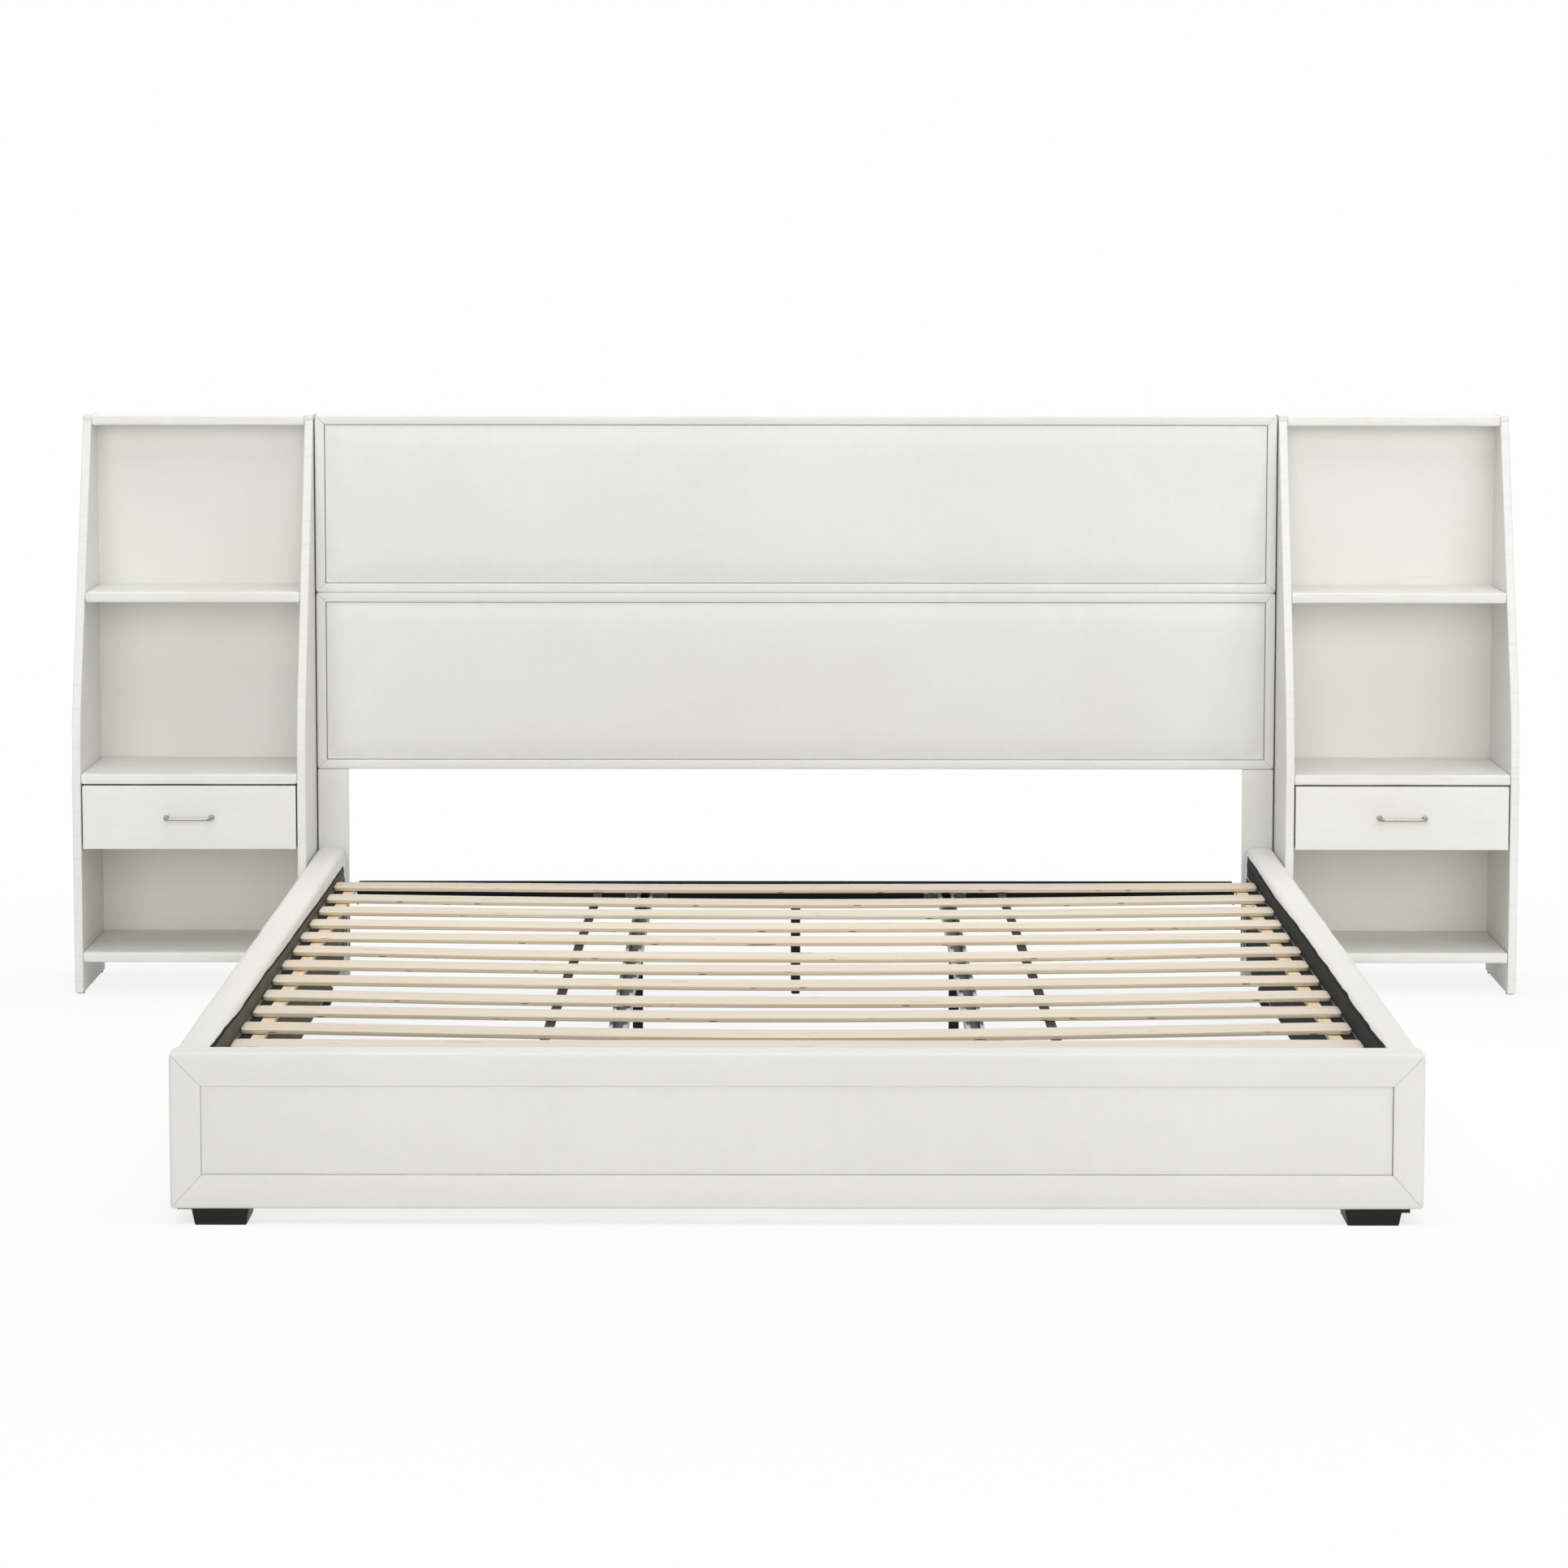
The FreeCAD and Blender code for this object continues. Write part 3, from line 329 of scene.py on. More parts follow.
class Finish:
    """A material made once and shared by the pieces that wear it."""

    name: str = "finish"

    def build(self, tree: Tree, spot: Value) -> dict:
        """Returns the Principled shader's inputs. Each finish has its own.

        Args:
            tree: The material's node tree.
            spot: Place on the piece.

        Returns:
            The inputs by socket name.
        """
        raise NotImplementedError

    def make(self) -> bpy.types.Material:
        """Builds the material, or returns the one already made.

        Returns:
            The material of this finish.
        """
        found = bpy.data.materials.get(self.name)
        if found is not None and found.get("made_here"):
            return found
        material = bpy.data.materials.new(self.name)
        material["made_here"] = True
        tree = Tree.of(material)
        shader = tree.node("ShaderNodeBsdfPrincipled", None, self.build(tree, tree.spot()))
        tree.node("ShaderNodeOutputMaterial", None, {"Surface": shader.outputs[0]})
        return material


@dataclass(frozen=True)
class Leather(Finish):
    """Ivory coated fabric with a fine pebble grain, and painted shade in its grooves and joins."""

    name: str = "ivory_leather"
    colour: Colour = tone(229, 228, 224)
    shade: Colour = tone(224, 223, 217)
    # Colour of the painted shade in grooves, joins and hidden backs.
    seam: Colour = tone(172, 170, 160)
    stretched: Colour = tone(196, 193, 180)
    grain: float = 0.00016
    streak: float = 0.0
    rough: float = 0.46

    def build(self, tree: Tree, spot: Value) -> dict:
        """Shader inputs of the coated fabric."""
        broad = tree.clouds(spot, 2.6, 3.0, 0.55)
        fine = tree.clouds(spot, 60.0, 4.0, 0.6)
        pebble = tree.cells(spot, 520.0)
        stretch = tree.clouds(tree.scaled(spot, (3.0, 55.0, 55.0)), 3.0, 6.0, 0.65, 0.4)
        seam = tree.seam()
        worn = tree.mix((broad * 0.8 + fine * 0.35).ramp(0.35, 0.85), self.colour, self.shade)
        if self.streak:
            worn = tree.mix(stretch.ramp(0.48, 0.72) * self.streak, worn, self.stretched)
        # Painted shade where the mesh's painted shading value is high.
        coloured = tree.mix(seam * 0.7, worn, self.seam)
        soft = tree.bump(fine, 0.0007, 0.35)
        if self.streak:
            soft = tree.bump(stretch, 0.0009, 0.5, soft)
        rough = fine * 0.14 + (self.rough - 0.07) + seam * 0.25
        return look(coloured, rough, tree.bump(pebble, self.grain, 0.55, soft), 0.42)


@dataclass(frozen=True)
class WrappedBoard(Leather):
    """Board wrapped in the ivory film: flatter than the upholstery, with a faint pressed grain."""

    name: str = "ivory_board"
    colour: Colour = tone(230, 230, 227)
    shade: Colour = tone(226, 225, 221)
    grain: float = 0.00009
    streak: float = 0.22
    rough: float = 0.5


@dataclass(frozen=True)
class BackPanel(Finish):
    """Thin ivory back panel with faint rub marks."""

    name: str = "ivory_back_panel"
    colour: Colour = tone(228, 227, 221)
    shade: Colour = tone(223, 222, 215)
    scuff: Colour = tone(214, 209, 197)

    def build(self, tree: Tree, spot: Value) -> dict:
        """Shader inputs of the back panel."""
        broad = tree.clouds(spot, 3.2, 3.0, 0.6)
        fine = tree.clouds(tree.scaled(spot, (26.0, 60.0, 90.0)), 3.0, 5.0, 0.6)
        arcs = tree.clouds(tree.scaled(spot, (2.0, 6.0, 14.0), (0.0, 0.12, 0.0)), 2.2, 8.0, 0.72, 1.1)
        worn = tree.mix((broad * 0.7 + fine * 0.4).ramp(0.35, 0.85), self.colour, self.shade)
        marked = tree.mix(arcs.ramp(0.6, 0.76) * 0.35, worn, self.scuff)
        return look(marked, fine * 0.15 + 0.45, tree.bump(fine, 0.0005, 0.3), 0.4)


@dataclass(frozen=True)
class PaleVeneer(Finish):
    """Pale ply of the slats: fine grain, layered edges whose darker tone is partly painted shade, small dark
    gaps, each slat with its own tone.
    """

    name: str = "pale_slat_ply"
    light: Colour = tone(226, 216, 201)
    dark: Colour = tone(208, 193, 172)
    blotch: Colour = tone(216, 199, 179)
    warm: Colour = tone(214, 201, 181)
    # Ply colours of the vertical faces, darker partly as painted shade.
    edge: Colour = tone(203, 184, 153)
    ply: Colour = tone(226, 210, 184)
    gap: Colour = tone(70, 52, 34)
    first: float = SLAT_FIRST * MM
    spacing: float = SLAT_SPACING * MM

    def build(self, tree: Tree, spot: Value) -> dict:
        """Shader inputs of the slats."""
        x, y, z = tree.apart(spot)
        number = ((y - self.first) / self.spacing).one("ROUND")
        own = tree.value("ShaderNodeTexWhiteNoise", {"noise_dimensions": "1D"}, {"W": number * 7.31})
        shifted = tree.vector(x + own * 9.0, y, z + number * 0.7)
        grain = tree.clouds(tree.scaled(shifted, (0.9, 95.0, 95.0)), 3.0, 6.0, 0.62, 0.25)
        flame = tree.clouds(tree.scaled(shifted, (0.55, 22.0, 22.0)), 2.0, 3.0, 0.5, 0.8)
        blotch = tree.clouds(shifted, 3.0, 2.0, 0.5)
        body = tree.mix((grain * 0.65 + flame * 0.5).ramp(0.4, 0.85), self.light, self.dark)
        body = tree.mix(blotch.ramp(0.4, 0.7) * 0.25, body, self.blotch)
        body = tree.mix(own * 0.22, body, self.warm)
        # The vertical faces take the layered ply colours: the layers are the ply's own, their darker tone is
        # partly painted shade on these faces.
        facing = tree.apart(tree.value("ShaderNodeNewGeometry", None, None, "Normal"))[2].one("ABSOLUTE")
        side = 1.0 - facing.ramp(0.35, 0.85)
        layers = tree.clouds(tree.scaled(shifted, (0.8, 30.0, 420.0)), 3.0, 3.0, 0.6)
        layers_and_shade = tree.mix(layers.ramp(0.42, 0.62), self.edge, self.ply)
        body = tree.mix(side * 0.9, body, layers_and_shade)
        dashes = tree.cells(tree.scaled(shifted, (14.0, 60.0, 120.0)), 1.0)
        knots = tree.clouds(tree.scaled(shifted, (6.0, 70.0, 70.0)), 2.2, 1.0, 0.3)
        holes = (1.0 - dashes.ramp(0.09, 0.14)) * (side * 0.95 + 0.05) + knots.ramp(0.765, 0.79) * 0.7
        body = tree.mix(tree.math("MINIMUM", holes, 1.0) * 0.9, body, self.gap)
        return look(body, grain * 0.18 + 0.5, tree.bump(grain, 0.0005, 0.3), 0.3)


@dataclass(frozen=True)
class RawWood(Finish):
    """Bare sawn timber of the ledgers, or the board of the hidden parts."""

    name: str = "sawn_pine"
    light: Colour = tone(233, 214, 186)
    dark: Colour = tone(208, 178, 140)
    knot: Colour = tone(120, 78, 45)
    along: Place = (60.0, 2.5, 60.0)

    def build(self, tree: Tree, spot: Value) -> dict:
        """Shader inputs of the timber."""
        grain = tree.clouds(tree.scaled(spot, self.along), 3.0, 6.0, 0.6, 0.5)
        rings = tree.clouds(tree.scaled(spot, tuple(part * 0.35 for part in self.along)), 2.0, 2.0, 0.5, 1.5)
        knots = tree.clouds(tree.scaled(spot, (26.0, 8.0, 26.0)), 1.4, 1.0, 0.4)
        body = tree.mix((grain * 0.7 + rings * 0.4).ramp(0.42, 0.82), self.light, self.dark)
        body = tree.mix(knots.ramp(0.7, 0.78) * 0.6, body, self.knot)
        return look(body, grain * 0.2 + 0.6, tree.bump(grain, 0.0008, 0.4), 0.25)


@dataclass(frozen=True)
class Lining(Finish):
    """Dark non-woven cloth on the inner faces."""

    name: str = "charcoal_lining"
    colour: Colour = tone(52, 53, 55)
    dark: Colour = tone(43, 44, 46)
    # The next two colours are painted: shade at the hem and on the flange between the slats, and a highlight
    # along the fold.
    deep: Colour = tone(16, 17, 20)
    fold: Colour = tone(168, 163, 152)

    def build(self, tree: Tree, spot: Value) -> dict:
        """Shader inputs of the cloth: painted shade where its painted shading value is 1, and a painted
        highlight along a fold where it is -1.
        """
        fibres = tree.clouds(spot, 420.0, 4.0, 0.7, 0.6)
        dimples = tree.cells(spot, 480.0)
        broad = tree.clouds(spot, 9.0, 3.0, 0.6)
        seam = tree.seam()
        plain = tree.mix((fibres * 0.7 + broad * 0.5).ramp(0.35, 0.85), self.colour, self.dark)
        lit = tree.mix((seam * -1.0).ramp(0.3, 0.9), plain, self.fold)
        coloured = tree.mix(seam.ramp(0.2, 0.8), lit, self.deep)
        woven = tree.bump(dimples, 0.0003, 0.5, tree.bump(fibres, 0.0004, 0.6))
        return look(coloured, fibres * 0.1 + 0.86, woven, 0.2)


@dataclass(frozen=True)
class Webbing(Finish):
    """Dark woven tape under the slats."""

    name: str = "dark_webbing"
    colour: Colour = tone(66, 58, 57)
    dark: Colour = tone(38, 33, 33)

    def build(self, tree: Tree, spot: Value) -> dict:
        """Shader inputs of the tape."""
        x, y, _ = tree.apart(spot)
        across = (x * 4200.0).one("SINE")
        along = (y * 3400.0).one("SINE")
        weave = across * along * 0.5 + 0.5
        lint = tree.clouds(spot, 160.0, 3.0, 0.6)
        coloured = tree.mix((weave * 0.6 + lint * 0.5).ramp(0.2, 0.9), self.dark, self.colour)
        return look(coloured, lint * 0.1 + 0.8, tree.bump(weave, 0.0003, 0.6), 0.2)


@dataclass(frozen=True)
class Steel(Finish):
    """Steel, plated or painted, with fine roll marks and a few small rubs; a channel's low web gets painted
    shade.
    """

    name: str = "zinc_steel_finish"
    colour: Colour = tone(182, 186, 188)
    mark: Colour = tone(120, 126, 130)
    metal: float = 0.85
    rough: float = 0.38
    rolled: Place = (120.0, 2.0, 120.0)
    gloss: float = 0.5
    # Height below which a channel's web takes painted shade, the softness of that edge, and the painted
    # shade's colour.
    web_shade_height: float = 0.0
    web_shade_edge: float = 0.0004
    web_shade_colour: Colour = tone(84, 92, 95)

    def build(self, tree: Tree, spot: Value) -> dict:
        """Shader inputs of the steel."""
        marks = tree.clouds(tree.scaled(spot, self.rolled), 3.0, 4.0, 0.6)
        flowers = tree.cells(spot, 90.0)
        rubs = tree.clouds(spot, 34.0, 6.0, 0.7)
        mixed = tree.mix((marks * 0.6 + flowers * 0.5).ramp(0.3, 0.95), self.colour, self.mark)
        # Painted shade: below that height the web takes the darker colour, for the shade under the slats.
        if self.web_shade_height:
            low = 1.0 - tree.apart(spot)[2].ramp(self.web_shade_height - self.web_shade_edge, self.web_shade_height + self.web_shade_edge)
            mixed = tree.mix(low, mixed, self.web_shade_colour)
        rough = rubs * 0.2 + marks * 0.08 + (self.rough - 0.14)
        return look(mixed, rough, tree.bump(marks, 0.0002, 0.3), self.gloss, self.metal)


@dataclass(frozen=True)
class Plastic(Finish):
    """Moulded black plastic with a fine spark texture."""

    name: str = "black_moulded_plastic"
    colour: Colour = tone(13, 13, 13)
    light: Colour = tone(20, 20, 19)
    rough: float = 0.5

    def build(self, tree: Tree, spot: Value) -> dict:
        """Shader inputs of the plastic."""
        spark = tree.clouds(spot, 900.0, 3.0, 0.6)
        dust = tree.clouds(spot, 40.0, 5.0, 0.7)
        dusty = tree.mix(dust.ramp(0.45, 0.75), self.colour, self.light)
        return look(dusty, dust * 0.18 + (self.rough - 0.08), tree.bump(spark, 0.00015, 0.5), 0.25)


@dataclass(frozen=True)
class Nickel(Finish):
    """Satin nickel of the pulls."""

    name: str = "brushed_nickel"
    colour: Colour = tone(172, 168, 158)
    dark: Colour = tone(134, 130, 119)

    def build(self, tree: Tree, spot: Value) -> dict:
        """Shader inputs of the nickel."""
        brushed = tree.clouds(tree.scaled(spot, (12.0, 380.0, 380.0)), 3.0, 4.0, 0.6)
        smudge = tree.clouds(spot, 60.0, 4.0, 0.6)
        coloured = tree.mix(brushed.ramp(0.35, 0.75), self.colour, self.dark)
        rough = brushed * 0.12 + smudge * 0.1 + 0.2
        return look(coloured, rough, tree.bump(brushed, 0.00005, 0.4), metal=1.0)


LEATHER = Leather()
HEAD_LEATHER = Leather(name="ivory_headboard_leather", colour=tone(227, 228, 225),
                       shade=tone(222, 223, 218))
BOARD = WrappedBoard()
DRAWER_BOARD = WrappedBoard(name="ivory_drawer_board", streak=0.05)
RIGHT_BOARD = WrappedBoard(name="ivory_board_grained", streak=0.34)
PANEL = BackPanel()
VENEER = PaleVeneer()
PINE = RawWood()
CORE = RawWood(name="core_board", light=tone(205, 180, 145), dark=tone(176, 148, 112), along=(8.0, 8.0, 8.0))
DRAWER_PLY = RawWood(name="drawer_ply", light=tone(232, 216, 190), dark=tone(212, 189, 156),
                     along=(2.5, 60.0, 60.0))
LINING = Lining()
# A lighter, olive copy of the lining for the left rail, which faces the key lamp: painted light, with a
# dimmer painted highlight on its fold.
LIT_LEFT_LINING = Lining(name="left_lining_painted_light", colour=tone(104, 101, 86), dark=tone(84, 82, 69),
                      fold=tone(122, 118, 101))
WEBBING = Webbing()
ZINC = Steel()
BOLT_STEEL = Steel(name="bolt_steel", colour=tone(96, 101, 105), mark=tone(64, 69, 73), metal=0.6)
# The channels' low web takes painted shade.
CHANNEL = Steel(name="channel_steel", colour=tone(208, 216, 217), mark=tone(168, 178, 181), metal=0.35,
                web_shade_height=0.2125)
BLACK_STEEL = Steel(name="black_painted_steel", colour=tone(14, 17, 24), mark=tone(20, 23, 30), metal=0.0,
                    rough=0.46, gloss=0.2)
PLASTIC = Plastic()
NICKEL = Nickel()


# Mesh tools

SWELL_WAVES = ((0.5, 1.0), (0.3, 0.61), (0.2, 0.37))
SWELL_PHASE = 2.399
CRUMPLE_SHIFT = (17.3, 5.1, 9.7)
MERGE_DISTANCE = 0.00001
CLOTH_FRAMES = 10
CLOTH_LIMIT = 0.002


def swell(along: np.ndarray, length: float, seed: int) -> np.ndarray:
    """A slow, uneven wave between about -1 and 1.

    Args:
        along: Places along the piece, in millimetres.
        length: Typical distance between two swellings, in millimetres.
        seed: Picks one wave of many.

    Returns:
        The wave at each place.
    """
    wave = np.zeros_like(along, dtype=float)
    for k, (share, stretch) in enumerate(SWELL_WAVES):
        phase = SWELL_PHASE * (seed + 1) * (k + 1)
        wave += share * np.sin(2 * math.pi * along / (length * stretch) + phase)
    return wave


def swell_at(place: float, length: float, seed: int) -> float:
    """The value of the slow wave at a single place."""
    return float(swell(np.array([place]), length, seed)[0])


def crumple(point: Sequence[float], scale: float, seed: int) -> Vector:
    """A small smooth push for a point in millimetres, for folds and tucks."""
    at = Vector(point) / scale + Vector([seed * shift for shift in CRUMPLE_SHIFT])
    return noise.noise_vector(at)


def placed(name: str, data: bpy.types.ID) -> bpy.types.Object:
    """Makes an object of some data and links it to the scene.

    Args:
        name: The object's name.
        data: Its mesh, lamp or camera.

    Returns:
        The object.
    """
    made = bpy.data.objects.new(name, data)
    bpy.context.scene.collection.objects.link(made)
    return made


@dataclass
class Shell:
    """Points in millimetres and faces of one closed mesh, with a painted shading value at each point."""

    points: list = field(default_factory=list)
    faces: list = field(default_factory=list)
    painted_shadings: list = field(default_factory=list)

    def add(self, point: Sequence[float], seam: float = 0.0) -> int:
        """Adds a point and returns its index.

        Args:
            point: The place in millimetres.
            seam: Its painted shading value.

        Returns:
            The index.
        """
        self.points.append(tuple(float(part) for part in point))
        self.painted_shadings.append(float(seam))
        return len(self.points) - 1

    def object(self, name: str, sharp: float = 50.0) -> bpy.types.Object:
        """Makes the Blender object, outward faces and smooth shading.

        Args:
            name: The piece's name.
            sharp: Edges steeper than this many degrees stay sharp.

        Returns:
            The object, at the origin, in metres.
        """
        mesh = bpy.data.meshes.new(name)
        mesh.from_pydata([[part * MM for part in point] for point in self.points], [], self.faces)
        # The painted shading values go on the mesh, for the materials to paint shade and highlights with.
        attribute = mesh.attributes.new("seam", "FLOAT", "POINT")
        attribute.data.foreach_set("value", self.painted_shadings)
        work = bmesh.new()
        work.from_mesh(mesh)
        bmesh.ops.remove_doubles(work, verts=work.verts, dist=MERGE_DISTANCE)
        bmesh.ops.recalc_face_normals(work, faces=work.faces)
        for face in work.faces:
            face.smooth = True
        work.to_mesh(mesh)
        work.free()
        mesh.set_sharp_from_angle(angle=math.radians(sharp))
        return placed(name, mesh)

    def join(self, rings: list[list[int]], joined: bool) -> None:
        """Joins rings of points with quads, and caps the two end rings of an open row.

        Args:
            rings: Rings of point indices, all of one length.
            joined: Whether the last ring joins the first.
        """
        count = len(rings[0])
        for k in range(len(rings) if joined else len(rings) - 1):
            here, there = rings[k], rings[(k + 1) % len(rings)]
            for j in range(count):
                n = (j + 1) % count
                self.faces.append((here[j], here[n], there[n], there[j]))
        if not joined:
            self.faces += [tuple(rings[0]), tuple(rings[-1])]


def outward(profile: np.ndarray) -> np.ndarray:
    """Unit normals of a closed outline, pointing out of it.

    Args:
        profile: Outline points, one row each.

    Returns:
        One normal a row.
    """
    ahead, behind = np.roll(profile, -1, axis=0), np.roll(profile, 1, axis=0)
    run = ahead - behind
    normal = np.stack([run[:, 1], -run[:, 0]], axis=1)
    normal /= np.maximum(np.linalg.norm(normal, axis=1, keepdims=True), 1e-9)
    area = np.sum(profile[:, 0] * ahead[:, 1] - ahead[:, 0] * profile[:, 1])
    return normal if area > 0 else -normal


def turned_back(past: float, radius: float) -> float:
    """How far a rounded end of some radius has turned back, this far past its start."""
    past = max(0.0, past)
    return radius - math.sqrt(max(0.0, radius ** 2 - past ** 2))


def arc(centre: tuple[float, float], radius: float, start: float, end: float, count: int) -> list:
    """Points on an arc, its angles in degrees.

    Args:
        centre: The arc's centre.
        radius: Its radius.
        start: Angle of the first point.
        end: Angle of the last point.
        count: How many points.

    Returns:
        The points in order.
    """
    return [(centre[0] + radius * math.cos(math.radians(start + (end - start) * k / (count - 1))),
             centre[1] + radius * math.sin(math.radians(start + (end - start) * k / (count - 1))))
            for k in range(count)]


@dataclass
class MitredRing:
    """A padded frame swept round a rectangle, its corners mitred, with painted shade in the groove at its
    inner edge and along the mitre lines.
    """

    left: float
    right: float
    low: float
    high: float
    profile: list
    face: tuple[float, float]
    seam_at: float
    wave: float
    wave_length: float
    seed: int
    spacing: float = 24.0
    groove: float = 1.3
    groove_width: float = 1.1
    corner: float = 1.2
    corner_reach: float = 5.0
    calm_reach: float = 16.0
    clear_of_corner: float = 90.0
    tuck_size: float = 9.0
    tuck_reach: float = 12.0
    tuck_end: float = 24.0
    side_step: float = 2300.0
    face_depth: float = 4.0
    taut: float = 0.2
    taut_rim: float = 12.0
    taut_seam: float = 10.0
    taut_back: float = 6.0
    # Width and least depth of the painted shade in the groove and along the mitres.
    seam_shade_width: float = 0.9
    seam_shade_depth: float = 3.4
    near: tuple[float, ...] = (0.0, 0.6, 1.3, 2.4, 4.5, 8.0, 13.0, 20.0)

    def build(self, name: str) -> bpy.types.Object:
        """Builds the frame.

        Args:
            name: The piece's name.

        Returns:
            The object.
        """
        outline = np.array(self.profile, float)
        normal = outward(outline)
        inset, depth = outline[:, 0], outline[:, 1]
        front = depth < depth.min() + self.face_depth
        on_face = np.where(front & (inset > self.face[0]) & (inset < self.face[1]), 1.0, 0.25 * front)
        loose = np.clip(inset / self.taut_rim, self.taut, 1.0)
        loose *= np.where(depth < depth.max() - self.taut_back, 1.0, 0.0)
        loose *= np.clip((self.seam_at - inset) / self.taut_seam, self.taut, 1.0)
        rim = np.clip(1.0 - inset / self.tuck_end, 0.0, 1.0)
        # Painted shade along the inner edge, on the points that lie down in the groove beside the pad.
        groove_shade = np.exp(-((inset - self.seam_at) / self.seam_shade_width) ** 2)
        groove_shade *= depth > depth.min() + self.seam_shade_depth
        shell, rings, reach = Shell(), [], self.near[-1]
        left, right, low, high = self.left, self.right, self.low, self.high
        corners = (((left, low), (1, 0)), ((right, low), (0, 1)), ((right, high), (-1, 0)),
                   ((left, high), (0, -1)))
        for k, (start, way) in enumerate(corners):
            length = right - left if way[0] else high - low
            inward = (-way[1], way[0])
            inner = max(2, round((length - 2 * inset.max() - 2 * reach) / self.spacing))
            columns = [("start", a) for a in self.near]
            columns += [("between", i / inner) for i in range(1, inner)]
            columns += [("end", a) for a in reversed(self.near[1:])]
            for kind, a in columns:
                from_corner = self.clear_of_corner if kind == "between" else a
                ease = 1.0 - math.exp(-(from_corner / self.calm_reach) ** 2)
                run = {"start": a, "between": a * length, "end": length - a}[kind]
                around = k * self.side_step + run
                push = self.wave * swell_at(around, self.wave_length, self.seed) * ease * loose
                push = push - self.groove * math.exp(-(from_corner / self.groove_width) ** 2) * on_face
                drawn = self.corner * rim * math.exp(-(from_corner / self.corner_reach) ** 2)
                pulled = inset + push * normal[:, 0] + drawn
                deep = depth + push * normal[:, 1]
                if kind == "start":
                    along = pulled + a
                elif kind == "end":
                    along = length - pulled - a
                else:
                    along = (pulled + reach) + a * (length - 2 * pulled - 2 * reach)
                ring = []
                for j in range(len(outline)):
                    # Painted shade along the mitre lines on the front face, weaker than in the groove.
                    mitre_shade = math.exp(-(from_corner / self.seam_shade_width) ** 2)
                    seam = max(groove_shade[j], 0.4 * on_face[j] * mitre_shade)
                    x = start[0] + way[0] * along[j] + inward[0] * pulled[j]
                    z = start[1] + way[1] * along[j] + inward[1] * pulled[j]
                    y = deep[j]
                    if from_corner < self.tuck_end:
                        fade = math.exp(-from_corner / self.tuck_reach)
                        tuck = crumple((x, y, z), self.tuck_size, self.seed) * 0.5 * rim[j] * fade
                        x, y, z = x + tuck.x * 0.4, y + abs(tuck.y), z + tuck.z * 0.4
                    ring.append(shell.add((x, y, z), seam))
                rings.append(ring)
        shell.join(rings, True)
        return shell.object(name, 70.0)


@dataclass
class CrownedPad:
    """A padded panel with a rolled rim and a low crown, closed at the back."""

    left: float
    right: float
    low: float
    high: float
    face: float
    back: float
    roll: float
    drop: float
    crown: float
    reach: float
    seed: int
    wave: float = 0.5
    spacing: float = 14.0
    near_shares: tuple[float, ...] = (0.0, 0.12, 0.3, 0.55, 1.0, 1.7, 2.6, 4.0)
    slow_length: tuple[float, float] = (520.0, 260.0)
    pucker_length: tuple[float, float] = (46.0, 41.0)
    pucker_reach: tuple[float, float] = (14.0, 18.0)
    calm_rim: float = 60.0
    # Width of the painted shade round the rim.
    rim_shade_width: float = 0.7

    def stations(self, start: float, end: float) -> np.ndarray:
        """Grid lines from one edge to the other, close together at both edges.

        Args:
            start: The first edge.
            end: The other edge.

        Returns:
            The lines' places.
        """
        near = np.array(self.near_shares) * self.roll
        count = max(2, round((end - start - 2 * near[-1]) / self.spacing))
        middle = np.linspace(start + near[-1], end - near[-1], count + 1)[1:-1]
        return np.concatenate([start + near, middle, (end - near)[::-1]])

    def rounding(self, edge: np.ndarray) -> np.ndarray:
        """Share of the rolled rim's height at a distance from the edge."""
        near = np.clip(edge / self.roll, 0.0, 1.0)
        return np.sqrt(np.maximum(0.0, 1.0 - (1.0 - near) ** 2))

    def build(self, name: str) -> tuple[bpy.types.Object, list[int]]:
        """Builds the pad.

        Args:
            name: The piece's name.

        Returns:
            The object, and the indices of the points that a simulation may move.
        """
        xs, zs = self.stations(self.left, self.right), self.stations(self.low, self.high)
        ex = np.minimum(xs - self.left, self.right - xs)
        ez = np.minimum(zs - self.low, self.high - zs)
        risen = np.outer(self.rounding(ex), self.rounding(ez))
        crown = np.outer(1 - np.exp(-ex / self.reach), 1 - np.exp(-ez / self.reach))
        away = np.minimum.outer(ex, ez)
        slow_x, slow_z = self.slow_length
        slow = np.outer(swell(xs, slow_x, self.seed), swell(zs, slow_z, self.seed + 3))
        pucker_x, pucker_z = self.pucker_length
        fade_z, fade_x = np.exp(-ez / self.pucker_reach[0]), np.exp(-ex / self.pucker_reach[1])
        pucker = swell(xs, pucker_x, self.seed + 5)[:, None] * fade_z[None, :]
        pucker = pucker + swell(zs, pucker_z, self.seed + 8)[None, :] * fade_x[:, None]
        depth = (self.face + self.drop * (1 - risen) - self.crown * crown
                 - self.wave * slow * np.clip(away / self.calm_rim, 0, 1) - 0.35 * self.wave * pucker * risen)
        shell = Shell()
        index = np.zeros(depth.shape, int)
        for i, x in enumerate(xs):
            for j, z in enumerate(zs):
                # Painted shade round the rim, where the pad meets the border.
                seam = math.exp(-(away[i, j] / self.rim_shade_width) ** 2)
                index[i, j] = shell.add((x, depth[i, j], z), seam)
        for i in range(len(xs) - 1):
            for j in range(len(zs) - 1):
                shell.faces.append((index[i, j], index[i + 1, j], index[i + 1, j + 1], index[i, j + 1]))
        rim = ([index[i, 0] for i in range(len(xs))] + [index[-1, j] for j in range(1, len(zs))]
               + [index[i, -1] for i in range(len(xs) - 2, -1, -1)]
               + [index[0, j] for j in range(len(zs) - 2, 0, -1)])
        # The hidden back takes full painted shade.
        behind = [shell.add((shell.points[k][0], self.back, shell.points[k][2]), 1.0) for k in rim]
        for k in range(len(rim)):
            n = (k + 1) % len(rim)
            shell.faces.append((rim[k], rim[n], behind[n], behind[k]))
        shell.faces.append(tuple(behind))
        free = [int(k) for k in index[away > 0.9 * self.roll]]
        return shell.object(name, 70.0), free


